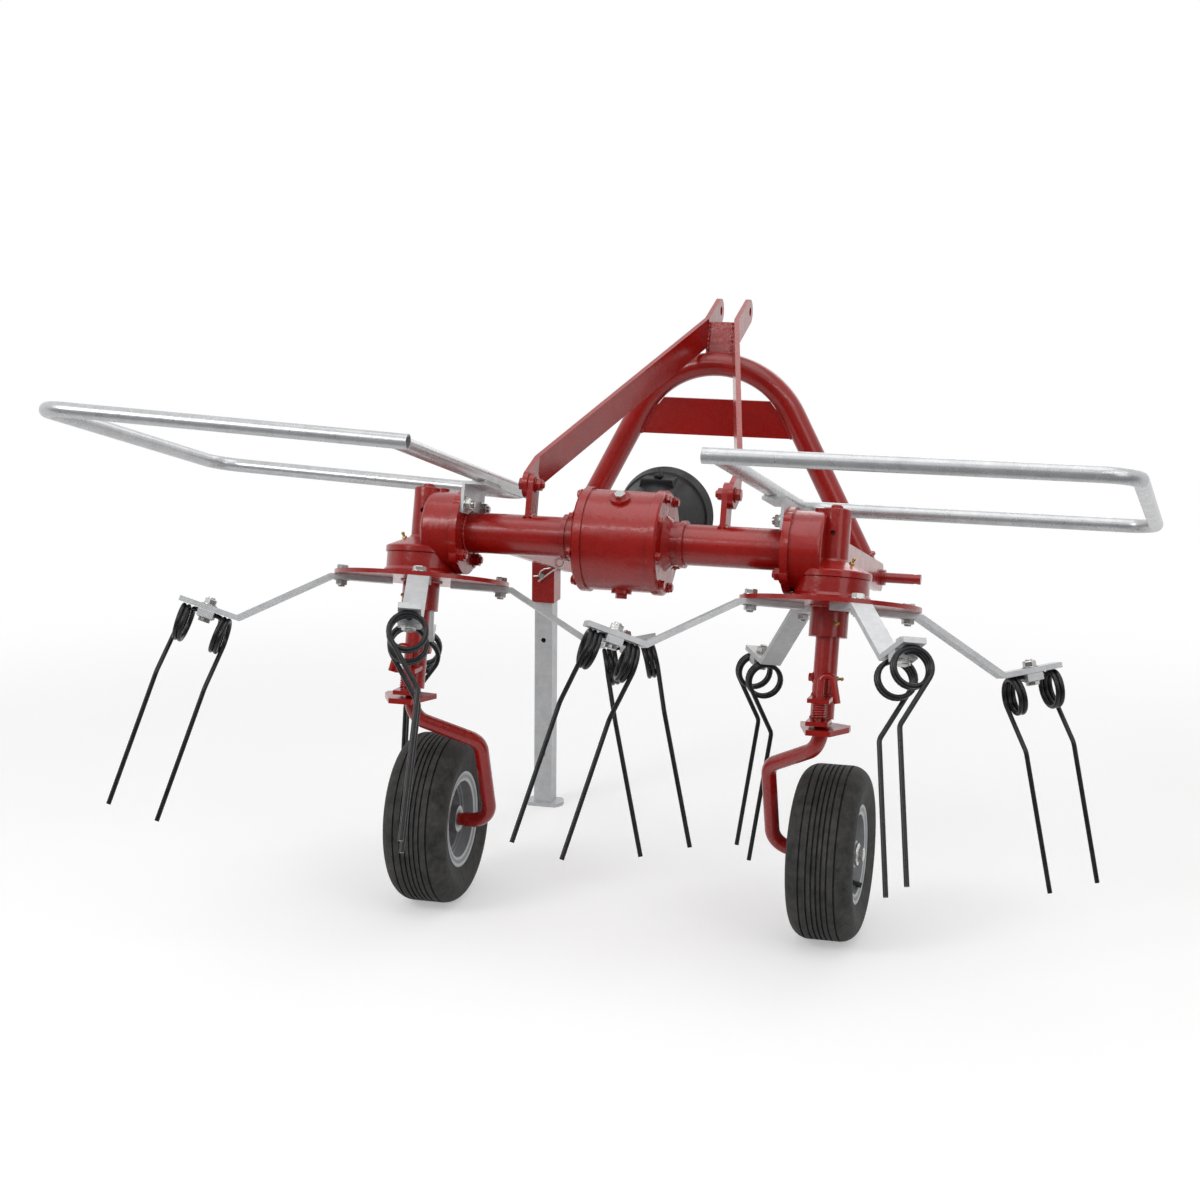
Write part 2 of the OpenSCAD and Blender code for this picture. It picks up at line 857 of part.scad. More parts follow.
module stand_sleeve() {
    inner = stand_w + 2 * stand_clear;
    outer = inner + 2 * sleeve_wall;
    color(RED)
        translate([stand_x, stand_y - beam_back, sleeve_low])
            difference() {
                translate([-outer / 2, -outer / 2, 0])
                    cube([outer, outer, sleeve_len]);
                translate([-inner / 2, -inner / 2, -1])
                    cube([inner, inner, sleeve_len + 2]);
                translate([0, outer, stand_pin_z - sleeve_low])
                    rotate([90, 0, 0])
                        cylinder(r = stand_hole_r, h = 2 * outer);
            }
}

// The pin's two ends, which sit in the sleeve's walls
module stand_pin() {
    inner = stand_w + 2 * stand_clear;
    color(SILVER)
        translate([stand_x, stand_y - beam_back, stand_pin_z])
            for (side = [-1, 1])
                translate([0, side * (inner / 2 + 8), 0])
                    rotate([90, 0, 0])
                        cylinder(r = stand_hole_r, h = 16, center = true);
}

module stand_leg() {
    bore = stand_w - 2 * stand_wall;
    color(ZINC)
        translate([stand_x, stand_y - beam_back, 0])
            difference() {
                union() {
                    translate([-stand_w / 2, -stand_w / 2, 0])
                        cube([stand_w, stand_w, stand_top]);
                    linear_extrude(foot_t)
                        intersection() {
                            square([foot_l, foot_w], center = true);
                            circle(d = foot_l);
                        }
                }
                translate([-bore / 2, -bore / 2, foot_t])
                    cube([bore, bore, stand_top]);
                for (drop = stand_holes)
                    translate([0, stand_w, stand_pin_z - drop])
                        rotate([90, 0, 0])
                            cylinder(r = stand_hole_r, h = 2 * stand_w);
            }
}

module leg(side) {
    color(RED)
        leaning()
            on_side(side)
                translate([rotor_x, 0, -leg_end])
                    difference() {
                        cylinder(r = leg_r, h = leg_end + base_z);
                        translate([0, 0, -1])
                            cylinder(r = bar_r + shaft_clear, h = 91);
                    }
}

module lock_bracket(side) {
    color(RED)
        leaning()
            on_side(side)
                translate([rotor_x, 0, -leg_end])
                    difference() {
                        for (z = [0, ear_gap])
                            translate([0, 0, z])
                                rotate([lock_lean, 0, 0])
                                    translate([-20, -leg_r - 34, -ear_t / 2])
                                        cube([40, 44, ear_t]);
                        translate([0, 0, -2 * ear_t])
                            cylinder(r = leg_r, h = 3 * ear_gap);
                        translate([0, -leg_r - 17, -3 * ear_t])
                            cylinder(r = 6.5, h = 3 * ear_gap);
                    }
}

// Spring pin with its hooked handle, drawn up clear of the lock plate
module lock_pin(side) {
    y = -leg_r - 17;
    sag = (leg_r + 17) * tan(lock_lean);
    low = ear_t / 2 - sag;
    top = ear_gap + 35;
    color(RED)
        leaning()
            on_side(side)
                translate([rotor_x, 0, -leg_end]) {
                    bent_rod([[0, y, -sag], [0, y, top], [21, y, top], [32, y, top - 48]], 6.5, 10);
                    translate([0, y, low + 2])
                        cylinder(r = 10, h = ear_gap - ear_t - 4);
                    for (i = [0 : 2])
                        translate([0, y, low + 5.5 + i * (ear_gap - ear_t - 11) / 2])
                            rotate_extrude()
                                translate([10, 0])
                                    circle(r = 2.5);
                }
}

module rotor_disc(side) {
    color(RED)
        leaning()
            on_side(side)
                translate([rotor_x, 0, disc_under])
                    difference() {
                        cylinder(r = disc_r, h = disc_t, $fn = 96);
                        translate([0, 0, -1])
                            cylinder(r = leg_r + shaft_clear, h = disc_t + 2);
                    }
}

module rotor_hub(side) {
    color(RED)
        leaning()
            on_side(side)
                translate([rotor_x, 0, disc_under - hub_len])
                    difference() {
                        cylinder(r = hub_r, h = hub_len);
                        translate([0, 0, -1])
                            cylinder(r = leg_r + shaft_clear, h = hub_len + 2);
                    }
}

// The right rotor's arms by angle; the left rotor's interleave with them, as its mirror image does half a step on
module at_arms(side) {
    phase = side < 0 ? 180 - (arm_step / 2 - arm_phase) : arm_phase;
    leaning()
        on_side(side)
            translate([rotor_x, 0, 0])
                for (i = [0 : arm_count - 1])
                    rotate(phase + i * arm_step)
                        children();
}

// Side profile of an arm: radius and height of its middle line, thickened square to itself
module arm_profile() {
    fall = atan(arm_fall / (arm_r2 - arm_r1));
    half = arm_t / 2;
    m1 = half * tan(fall / 2);
    m2 = half * tan((fall + arm_end_rise) / 2);
    n1 = [m1, half];
    n2 = [sin(fall) * half + cos(fall) * -m2, cos(fall) * half + sin(fall) * m2];
    n3 = [-sin(arm_end_rise) * half, cos(arm_end_rise) * half];
    line = [[arm_r0, arm_z1], [arm_r1, arm_z1], [arm_r2, arm_z2], [arm_r3, arm_z3]];
    off = [[0, half], n1, n2, n3];
    polygon(concat(
        [for (i = [0 : 3]) line[i] + off[i]],
        [for (i = [3 : -1 : 0]) line[i] - off[i]]
    ));
}

module rotor_arms(side) {
    color(ZINC)
        at_arms(side)
            rotate([90, 0, 0])
                linear_extrude(arm_w, center = true)
                    arm_profile();
}

// Places its children under an arm's end: x outward along the arm, z square to it
module under_arm() {
    translate([tine_bolt_r, 0, tine_z])
        rotate([0, -arm_end_rise, 0])
            children();
}

// Half section of a coil: its touching turns side by side
module coil_section() {
    for (i = [0 : coil_turns - 1])
        translate([coil_r, (i + 0.5) * wire_d])
            circle(r = wire_r + coil_touch);
}

// One coil of a tine, with its leg
module tine_half(end) {
    out = atan2(knee_trail, knee_drop) - acos(coil_r / norm([knee_trail, knee_drop]));
    x = end * (leg_gap / 2 - wire_r);
    translate([end * leg_gap / 2, 0, -coil_out])
        rotate([0, -90 * end, 0])
            rotate_extrude()
                coil_section();
    bent_rod([
        [x, -coil_r * sin(out), -coil_out - coil_r * cos(out)],
        [x, -knee_trail, -coil_out - knee_drop],
        [x, -tip_trail, -coil_out - knee_drop - leg_len]
    ], wire_r, 20);
}

module tines(side) {
    bridge = leg_gap / 2 - coil_len + wire_r;
    color(BLACK)
        at_arms(side)
            under_arm() {
                for (end = [-1, 1])
                    tine_half(end);
                rod([-bridge, 0, -wire_r], [bridge, 0, -wire_r], wire_r);
            }
}

module tine_clips(side) {
    gap = leg_gap - 2 * coil_len - 1;
    color(ZINC)
        at_arms(side)
            under_arm()
                difference() {
                    translate([-gap / 2, -arm_w / 2, -wire_d - clip_t])
                        cube([gap, arm_w, wire_d + clip_t]);
                    translate([-gap, 0, -wire_r])
                        rotate([0, 90, 0])
                            cylinder(r = wire_r, h = 2 * gap);
                    translate([-gap, -wire_r, -wire_r])
                        cube([2 * gap, wire_d, wire_d]);
                }
}

// Bar of a caster: up into the leg, then inboard, forward and down to the axle
module caster_arm(side) {
    neck = level([rotor_x, 0, -lock_z - lock_t - 32]);
    corners = [
        level([rotor_x, 0, -leg_end + 80]),
        neck,
        [bar_x, bar_y, bar_z - beam_height],
        [bar_x, wheel_y, tyre_r - beam_height],
        [wheel_x - tyre_w / 2 + 4, wheel_y, tyre_r - beam_height]
    ];
    plate = [[-18, -leg_r - 38], [26, -leg_r - 38], [52, -8], [52, 10], [16, 26], [-42, 18]];
    color(RED)
        at_beam()
            on_side(side) {
                bent_rod(corners, bar_r, bar_bend);
                rod(corners[4], [wheel_x + 40, wheel_y, tyre_r - beam_height], axle_r);
                rotate([-tilt, 0, 0])
                    translate([rotor_x, 0, -lock_z])
                        rotate([lock_lean, 0, 0])
                            translate([0, 0, -lock_t])
                                linear_extrude(lock_t)
                                    polygon(plate);
            }
}

// Half section of a tyre, radius along x: crown, shoulders, drawn-in sidewalls and bead
module tyre_section() {
    side = tyre_w / 2;
    round = tyre_shoulder;
    foot = rim_r + tyre_gap;
    seat = rim_r - rim_edge + tyre_gap;
    bead = rim_half - 2 * rim_wall - tyre_gap;
    difference() {
        union() {
            translate([foot, -side])
                square([tyre_r - round - foot, tyre_w]);
            translate([foot, -side + round])
                square([tyre_r - foot, tyre_w - 2 * round]);
            translate([seat, -bead])
                square([tyre_r - round - seat, 2 * bead]);
            for (s = [-1, 1])
                translate([tyre_r - round, s * (side - round)])
                    circle(r = round);
        }
        for (s = [-1, 1])
            polygon([[foot - 1, s * (side - tyre_draw)], [foot - 1, s * (side + 1)], [tyre_r - round, s * (side + 1)]]);
        for (y = groove_at, s = [-1, 1])
            translate([tyre_r - groove_d, s * y - groove_w / 2])
                square([2 * groove_d, groove_w]);
    }
}

module at_wheel(side) {
    at_beam()
        on_side(side)
            translate([wheel_x, wheel_y, tyre_r - beam_height])
                rotate([0, 90, 0])
                    children();
}

module tyre(side) {
    color(RUBBER)
        at_wheel(side)
            rotate_extrude($fn = wheel_sides)
                tyre_section();
}

// Half section of a rim: stepped bed with its edges, dished disc and hub
module rim_section() {
    seat = rim_r - rim_edge;
    well = seat - rim_well;
    bore = axle_r + shaft_clear;
    half = [
        [rim_r, rim_half],
        [rim_r, rim_half - rim_wall],
        [seat, rim_half - 2 * rim_wall],
        [seat, rim_half / 2],
        [well, rim_half / 2 - rim_wall]
    ];
    under = [
        [rim_r - rim_wall, rim_half],
        [seat - rim_wall, rim_half - rim_wall],
        [seat - rim_wall, rim_half / 2 + rim_wall],
        [well - rim_wall, rim_half / 2]
    ];
    dish = hub_out + rim_edge;
    union() {
        polygon(concat(
            [for (p = half) [p[0], -p[1]]],
            [for (i = [len(half) - 1 : -1 : 0]) half[i]],
            under,
            [for (i = [len(under) - 1 : -1 : 0]) [under[i][0], -under[i][1]]]
        ));
        polygon([[bore, -2], [dish, -2], [well - 1, 9], [well - 1, 13], [dish, 3], [bore, 3]]);
        translate([bore, -hub_half])
            square([hub_out - bore, 2 * hub_half]);
    }
}

module rim(side) {
    color(SILVER)
        at_wheel(side)
            rotate_extrude($fn = wheel_sides)
                rim_section();
}

beam_tube(-1);  // beam_tube_left
beam_tube(1);  // beam_tube_right
gearbox_body();
gearbox_cover(-1);  // gearbox_cover_left
gearbox_cover(1);  // gearbox_cover_right
gearbox_plugs();
pto_guard();
pto_shaft();
housing(-1);  // housing_left
housing(1);  // housing_right
guard_rail(-1);  // guard_rail_left
guard_rail(1);  // guard_rail_right
guard_bracket(-1);  // guard_bracket_left
guard_bracket(1);  // guard_bracket_right
hitch_arch();
hitch_cross_plate();
top_stay(-1);  // top_stay_left
top_stay(1);  // top_stay_right
mast_spacer();
stay_lug(-1);  // stay_lug_left
stay_lug(1);  // stay_lug_right
lower_arm(-1);  // lower_arm_left
lower_arm(1);  // lower_arm_right
hitch_pin(-1);  // hitch_pin_left
hitch_pin(1);  // hitch_pin_right
stand_sleeve();
stand_pin();
stand_leg();
leg(-1);  // leg_left
leg(1);  // leg_right
lock_bracket(-1);  // lock_bracket_left
lock_bracket(1);  // lock_bracket_right
lock_pin(-1);  // lock_pin_left
lock_pin(1);  // lock_pin_right
rotor_disc(-1);  // rotor_disc_left
rotor_disc(1);  // rotor_disc_right
rotor_hub(-1);  // rotor_hub_left
rotor_hub(1);  // rotor_hub_right
rotor_arms(-1);  // rotor_arms_left
rotor_arms(1);  // rotor_arms_right
tines(-1);  // tines_left
tines(1);  // tines_right
tine_clips(-1);  // tine_clips_left
tine_clips(1);  // tine_clips_right
caster_arm(-1);  // caster_arm_left
caster_arm(1);  // caster_arm_right
tyre(-1);  // tyre_left
tyre(1);  // tyre_right
rim(-1);  // rim_left
rim(1);  // rim_right
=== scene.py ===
# %% [markdown]
# # A rotary tedder, dressed for its portrait
#
# The imported CAD model is the fixed frame: every solid already stands where it belongs, in metres.
# This lesson adds what a metal shop would add afterwards: paint and zinc, wound spring tines,
# bolts, weld beads, pins and clips. First the frame is loaded, and a helper measures the box of any of its
# parts.

# %% Load the frame
import math

import bpy
from mathutils import Matrix, Vector


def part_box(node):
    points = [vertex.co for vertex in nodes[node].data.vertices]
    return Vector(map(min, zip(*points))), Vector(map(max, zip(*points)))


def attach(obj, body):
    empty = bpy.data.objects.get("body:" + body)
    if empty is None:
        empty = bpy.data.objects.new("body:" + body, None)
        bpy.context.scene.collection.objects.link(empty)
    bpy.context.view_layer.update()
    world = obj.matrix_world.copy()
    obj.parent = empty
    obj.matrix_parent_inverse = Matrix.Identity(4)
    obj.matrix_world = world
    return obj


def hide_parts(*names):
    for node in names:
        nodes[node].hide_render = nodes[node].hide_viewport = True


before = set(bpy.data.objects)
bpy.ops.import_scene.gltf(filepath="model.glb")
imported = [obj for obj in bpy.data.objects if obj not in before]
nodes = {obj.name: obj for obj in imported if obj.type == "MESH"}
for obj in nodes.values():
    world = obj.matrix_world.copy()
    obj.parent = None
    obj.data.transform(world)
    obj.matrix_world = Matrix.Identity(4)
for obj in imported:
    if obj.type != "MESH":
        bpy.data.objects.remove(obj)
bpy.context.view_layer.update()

# %% [markdown]
# ## The leaning machine
#
# The rotors and all that hangs on the beam lean forward by one angle, so most pieces are easiest to
# place in the machine's own frame: X to the right, Y along the hitch, Z along the rotor axes.
# One matrix takes that frame to the floor's. The left half is the mirror image of the right.

# %% The machine's own frame
BEAM_HEIGHT = 0.746
BEAM_BACK = 0.1435
TILT = math.radians(15)
ROTOR_X = 0.390
SIDES = {"left": -1, "right": 1}

level = Matrix.Translation((0, -BEAM_BACK, BEAM_HEIGHT))
machine = level @ Matrix.Rotation(-TILT, 4, "X")


def shift(x, y, z):
    return Matrix.Translation((x, y, z))


def turn(degrees, axis):
    return Matrix.Rotation(math.radians(degrees), 4, axis)


def on_side(side):
    """The identity on the right, the mirror image on the left."""
    return Matrix.Scale(side, 4, (1, 0, 0))


print("rotor axis leans", round(math.degrees(TILT)), "degrees")

# %% [markdown]
# ## The camera
#
# The view was solved from the photograph: where the discs, tine tips, guards and wheels fall in the
# picture fixes the lens and the place it stood. The three axes of the camera become the columns
# of its matrix, which also holds the slight roll of a hand-held shot.

# %% Camera
LENS_MM = 73.25
SENSOR_MM = 36
SIGHT_END = 60
CAMERA_FROM_BEAM = Vector((1.1285, -4.3009, 1.5355))
CAMERA_YAW = math.radians(15.294)
CAMERA_PITCH = math.radians(11.457)
CAMERA_ROLL = 0.0097

forward = Vector((
    -math.sin(CAMERA_YAW) * math.cos(CAMERA_PITCH),
    math.cos(CAMERA_YAW) * math.cos(CAMERA_PITCH),
    -math.sin(CAMERA_PITCH),
))
right = Vector((math.cos(CAMERA_YAW), math.sin(CAMERA_YAW), 0))
up = right.cross(forward)
side_axis = right * math.cos(CAMERA_ROLL) + up * math.sin(CAMERA_ROLL)
up_axis = up * math.cos(CAMERA_ROLL) - right * math.sin(CAMERA_ROLL)

bpy.ops.object.select_all(action="DESELECT")
bpy.ops.object.camera_add()
camera = bpy.context.object
camera.name = "photo_camera"
camera.data.lens = LENS_MM
camera.data.sensor_width = SENSOR_MM
camera.data.clip_end = SIGHT_END
camera.matrix_world = Matrix((
    (side_axis.x, up_axis.x, -forward.x, CAMERA_FROM_BEAM.x),
    (side_axis.y, up_axis.y, -forward.y, CAMERA_FROM_BEAM.y - BEAM_BACK),
    (side_axis.z, up_axis.z, -forward.z, CAMERA_FROM_BEAM.z),
    (0, 0, 0, 1),
))
bpy.context.scene.camera = camera
print("camera at", [round(c, 2) for c in camera.matrix_world.translation])

# %% [markdown]
# ## Light and floor
#
# A catalogue shot: a white room, broad soft lamps from above and in front, and two slim ones whose
# reflections draw bright lines along the tubes. The room and the floor are white to the camera and in
# reflections, while the light that falls on the machine stays at a plain level. Only the low wall and
# the floor on the camera's side are dim in reflections, so zinc and gloss keep their darks below a
# bright upper edge. Near the wheels the floor is paper that takes a soft shadow; further out it runs
# into plain white.

# %% Helpers for node trees


def calculate(tree, operation, first, second):
    """A math node on two sockets, or on a socket and a number."""
    node = tree.nodes.new("ShaderNodeMath")
    node.operation = operation
    for socket, value in zip(node.inputs, (first, second)):
        if isinstance(value, (int, float)):
            socket.default_value = value
        else:
            tree.links.new(value, socket)
    return node.outputs[0]


def any_ray(tree, *names):
    """1 where the ray is one of the kinds named, or else 0."""
    rays = tree.nodes.new("ShaderNodeLightPath")
    found = rays.outputs[names[0]]
    for name in names[1:]:
        found = calculate(tree, "MAXIMUM", found, rays.outputs[name])
    return found


def step_up(tree, source, low, high):
    """A smooth step from 0 to 1 as a value goes from low to high."""
    step = tree.nodes.new("ShaderNodeMapRange")
    step.interpolation_type = "SMOOTHSTEP"
    step.inputs["From Min"].default_value = low
    step.inputs["From Max"].default_value = high
    tree.links.new(source, step.inputs["Value"])
    return step.outputs["Result"]


def along(tree, source, axis):
    """How far a vector reaches along an axis."""
    reach = tree.nodes.new("ShaderNodeVectorMath")
    reach.operation = "DOT_PRODUCT"
    reach.inputs[1].default_value = axis
    tree.links.new(source, reach.inputs[0])
    return reach.outputs["Value"]


print("helpers for node trees ready")

# %% World
WORLD_LIGHT = 0.42
DIM = 0.12
DIM_TOP = (0.26, 0.46)
DIM_SIDE = (-0.6, 0.2)
SEEN = ("Is Camera Ray", "Is Glossy Ray", "Is Transmission Ray")
MIRRORED = SEEN[1:]

away = Vector((forward.x, forward.y, 0))
world = bpy.data.worlds.new("white_room")
world.use_nodes = True
bpy.context.scene.world = world
tree = world.node_tree
sky = tree.nodes["Background"]
sky.inputs["Color"].default_value = (1, 1, 1, 1)
direction = tree.nodes.new("ShaderNodeTexCoord").outputs["Generated"]
ahead = step_up(tree, along(tree, direction, away), *DIM_SIDE)
above = step_up(tree, along(tree, direction, (0, 0, 1)), *DIM_TOP)
reflected = tree.nodes.new("ShaderNodeMapRange")
reflected.inputs["To Min"].default_value = DIM
tree.links.new(calculate(tree, "MAXIMUM", ahead, above), reflected.inputs["Value"])
lit = tree.nodes.new("ShaderNodeMix")
lit.inputs["A"].default_value = WORLD_LIGHT
tree.links.new(any_ray(tree, *MIRRORED), lit.inputs["Factor"])
tree.links.new(reflected.outputs["Result"], lit.inputs["B"])
shown = calculate(tree, "MAXIMUM", any_ray(tree, SEEN[0]), lit.outputs["Result"])
tree.links.new(shown, sky.inputs["Strength"])
print("white room, light level", WORLD_LIGHT)

# %% Floor
FLOOR_SIZE = 60
FLOOR_GREY = 0.70
FLOOR_ROUGH = 0.9
FLOOR_GLOW = 0.38
PAPER_EDGE = (1.5, 3.2)
DIM_EDGE = (0.4, 1.5)

bpy.ops.object.select_all(action="DESELECT")
bpy.ops.mesh.primitive_plane_add(size=FLOOR_SIZE)
floor = bpy.context.object
floor.name = "floor"
paper = bpy.data.materials.new("white_floor")
paper.use_nodes = True
tree = paper.node_tree
sheet = tree.nodes["Principled BSDF"]
sheet.inputs["Base Color"].default_value = (FLOOR_GREY, FLOOR_GREY, FLOOR_GREY, 1)
sheet.inputs["Roughness"].default_value = FLOOR_ROUGH
sheet.inputs["Specular IOR Level"].default_value = 0.0
sheet.inputs["Emission Color"].default_value = (1, 1, 1, 1)
seen = any_ray(tree, *SEEN)
tree.links.new(calculate(tree, "MULTIPLY", seen, FLOOR_GLOW), sheet.inputs["Emission Strength"])
spot = tree.nodes.new("ShaderNodeTexCoord").outputs["Object"]
far = tree.nodes.new("ShaderNodeVectorMath")
far.operation = "LENGTH"
tree.links.new(spot, far.inputs[0])
outside = step_up(tree, far.outputs["Value"], *PAPER_EDGE)
near_camera = step_up(tree, along(tree, spot, -away), *DIM_EDGE)
white_share = calculate(tree, "MULTIPLY", outside, seen)
dim_share = calculate(tree, "MULTIPLY", near_camera, any_ray(tree, *MIRRORED))
surface = sheet.outputs[0]
for part, brightness in ((white_share, 1), (dim_share, DIM)):
    plain = tree.nodes.new("ShaderNodeEmission")
    plain.inputs["Strength"].default_value = brightness
    blend = tree.nodes.new("ShaderNodeMixShader")
    tree.links.new(part, blend.inputs["Fac"])
    tree.links.new(surface, blend.inputs[1])
    tree.links.new(plain.outputs[0], blend.inputs[2])
    surface = blend.outputs[0]
tree.links.new(surface, tree.nodes["Material Output"].inputs["Surface"])
floor.data.materials.append(paper)
print("floor", FLOOR_SIZE, "m across")

# %% Lamps
AIM = Vector((0, 0, 0.6))
# Each lamp: its place, its width and length in metres, and its power in watts.
LAMPS = {
    "lamp_top": ((0.2, -0.5, 4.0), 3.0, 3.0, 38),
    "lamp_key": ((-2.6, -3.4, 3.0), 1.6, 1.6, 52),
    "lamp_fill": ((3.4, -2.8, 2.0), 2.0, 2.0, 20),
    "lamp_back": ((0.6, 3.6, 2.6), 2.4, 2.4, 24),
    "strip_left": ((-1.6, -2.4, 2.9), 0.12, 2.6, 12),
    "strip_right": ((1.9, -1.8, 2.7), 0.12, 2.6, 10),
}
for name, (place, width, length, watts) in LAMPS.items():
    bpy.ops.object.light_add(type="AREA", location=place)
    lamp = bpy.context.object
    lamp.name = name
    lamp.data.shape = "RECTANGLE"
    lamp.data.size = length
    lamp.data.size_y = width
    lamp.data.energy = watts
    lamp.rotation_euler = (AIM - Vector(place)).to_track_quat("-Z", "Y").to_euler()
bpy.context.scene.view_settings.view_transform = "Standard"
print("lamps:", ", ".join(LAMPS))

# %% [markdown]
# ## Finishes
#
# Each finish is a small node tree on Object coordinates, so a pattern keeps its real size on every
# piece. Small helpers keep the trees short: `noise` and `cells` make patterns of a given size, `tone`
# and `polish` let the colour and the roughness follow a pattern, and `relief` raises patterns a hair.

# %% Helpers for finishes
COAT_ROUGH = 0.12
PATTERN_SPAN = (0.25, 0.75)


def finish(name, metallic=0.0, shine=0.5, coat=0.0):
    """A new material with its shader and a source of Object coordinates."""
    material = bpy.data.materials.new(name)
    material.use_nodes = True
    tree = material.node_tree
    shader = tree.nodes["Principled BSDF"]
    shader.inputs["Metallic"].default_value = metallic
    shader.inputs["Specular IOR Level"].default_value = shine
    shader.inputs["Coat Weight"].default_value = coat
    shader.inputs["Coat Roughness"].default_value = COAT_ROUGH
    place = tree.nodes.new("ShaderNodeTexCoord")
    return material, tree, shader, place.outputs["Object"]


def noise(tree, place, size, detail=4, rough=0.55):
    """A noise whose blotches measure about size metres."""
    pattern = tree.nodes.new("ShaderNodeTexNoise")
    pattern.inputs["Scale"].default_value = 1 / size
    pattern.inputs["Detail"].default_value = detail
    pattern.inputs["Roughness"].default_value = rough
    tree.links.new(place, pattern.inputs["Vector"])
    return pattern.outputs["Fac"]


def cells(tree, place, size):
    """Flakes of about size metres, each with a grey of its own."""
    pattern = tree.nodes.new("ShaderNodeTexVoronoi")
    pattern.inputs["Scale"].default_value = 1 / size
    tree.links.new(place, pattern.inputs["Vector"])
    grey = tree.nodes.new("ShaderNodeSeparateColor")
    tree.links.new(pattern.outputs["Color"], grey.inputs["Color"])
    return grey.outputs[0]


def blend_of(tree, first, second, share):
    """Two patterns as one, with a share of the second."""
    mix = tree.nodes.new("ShaderNodeMix")
    mix.inputs["Factor"].default_value = share
    tree.links.new(first, mix.inputs["A"])
    tree.links.new(second, mix.inputs["B"])
    return mix.outputs["Result"]


def tone(tree, shader, strength, dark, pale, low=0.3, high=0.7):
    """The colour goes from dark to pale as a pattern's strength goes from low to high."""
    ramp = tree.nodes.new("ShaderNodeValToRGB")
    ramp.color_ramp.elements[0].position = low
    ramp.color_ramp.elements[0].color = (*dark, 1)
    ramp.color_ramp.elements[1].position = high
    ramp.color_ramp.elements[1].color = (*pale, 1)
    tree.links.new(strength, ramp.inputs["Fac"])
    tree.links.new(ramp.outputs["Color"], shader.inputs["Base Color"])


def polish(tree, shader, strength, low, high):
    """The roughness follows a pattern's strength from low to high."""
    span = tree.nodes.new("ShaderNodeMapRange")
    span.inputs["From Min"].default_value, span.inputs["From Max"].default_value = PATTERN_SPAN
    span.inputs["To Min"].default_value = low
    span.inputs["To Max"].default_value = high
    tree.links.new(strength, span.inputs["Value"])
    tree.links.new(span.outputs["Result"], shader.inputs["Roughness"])


def relief(tree, shader, *patterns):
    """Raises patterns one on the other: each is (strength, share, depth in metres)."""
    below = None
    for strength, share, depth in patterns:
        bump = tree.nodes.new("ShaderNodeBump")
        bump.inputs["Strength"].default_value = share
        bump.inputs["Distance"].default_value = depth
        tree.links.new(strength, bump.inputs["Height"])
        if below:
            tree.links.new(below, bump.inputs["Normal"])
        below = bump.outputs["Normal"]
    tree.links.new(below, shader.inputs["Normal"])
    tree.links.new(below, shader.inputs["Coat Normal"])


print("helpers for finishes ready")

# %% [markdown]
# ## Red paint on plate and on castings
#
# The machine is sprayed a deep signal red with a wet gloss. Plate and tube show only a little orange
# peel; castings keep the sand's grain under the same coat, so they share a colour but not a relief.

# %% Red paints
RED_DEEP = (0.265, 0.004, 0.002)
RED_PALE = (0.330, 0.007, 0.004)
PAINT_CLOUD = 0.09
PAINT_FLOW = 0.03
PAINT_PEEL = 0.0035


def red_paint(name, grain, depth, pits):
    """Glossy red over a grain of that size and depth, with finer pits."""
    material, tree, shader, place = finish(name, shine=0.40, coat=0.35)
    tone(tree, shader, noise(tree, place, PAINT_CLOUD), RED_DEEP, RED_PALE)
    polish(tree, shader, noise(tree, place, PAINT_FLOW), 0.22, 0.34)
    ripple = noise(tree, place, grain, 3)
    peel = noise(tree, place, PAINT_PEEL, 2)
    relief(tree, shader, (ripple, 0.4, depth), (peel, 0.2, pits))
    return material


red_gloss = red_paint("red_gloss", 0.014, 0.0007, 0.0002)
red_casting = red_paint("red_casting", 0.034, 0.0032, 0.0004)
print("paints:", red_gloss.name, red_casting.name)

# %% [markdown]
# ## Zinc, steel, rubber and plastic
#
# The guards are bright hot-dip zinc with faint flakes; the stand and the arms are duller. The filler
# plug on top of the gearbox is bare zinc too, while the drain plug below went under the red spray.
# The tines have a black stoved coat, the tyres a dusty rubber, the rims a silver paint, and the bell
# round the input shaft is moulded from black plastic.

# %% Metals
FLAKE_SIZE = 0.007
FLAKE_SHARE = 0.18
ZINC_CLOUD = 0.035
PAINT_EDGE = 0.01


def zinc(name, dark, pale, rough_low, rough_high, metallic=0.9):
    """Galvanised steel: flakes, clouds and fine pits."""
    material, tree, shader, place = finish(name, metallic)
    flakes = cells(tree, place, FLAKE_SIZE)
    tone(tree, shader, blend_of(tree, noise(tree, place, ZINC_CLOUD), flakes, FLAKE_SHARE), dark, pale)
    polish(tree, shader, noise(tree, place, 0.02), rough_low, rough_high)
    relief(tree, shader, (noise(tree, place, 0.016, 2), 0.06, 0.0004))
    return material


def half_painted(name, steel, height):
    """Bright steel above a height, red paint below it."""
    material = steel(name)
    tree = material.node_tree
    shader = tree.nodes["Principled BSDF"]
    place = tree.nodes.new("ShaderNodeTexCoord").outputs["Object"]
    bare = step_up(tree, along(tree, place, (0, 0, 1)), height, height + PAINT_EDGE)
    tint = tree.nodes.new("ShaderNodeMix")
    tint.data_type = "RGBA"
    tint.inputs["A"].default_value = (*RED_DEEP, 1)
    tree.links.new(bare, tint.inputs["Factor"])
    tree.links.new(shader.inputs["Base Color"].links[0].from_socket, tint.inputs["B"])
    tree.links.new(tint.outputs["Result"], shader.inputs["Base Color"])
    tree.links.new(bare, shader.inputs["Metallic"])
    return material


def turned_steel(name):
    """The bright steel of bolts, plugs and the input shaft."""
    return zinc(name, (0.42, 0.42, 0.41), (0.60, 0.60, 0.58), 0.20, 0.34)


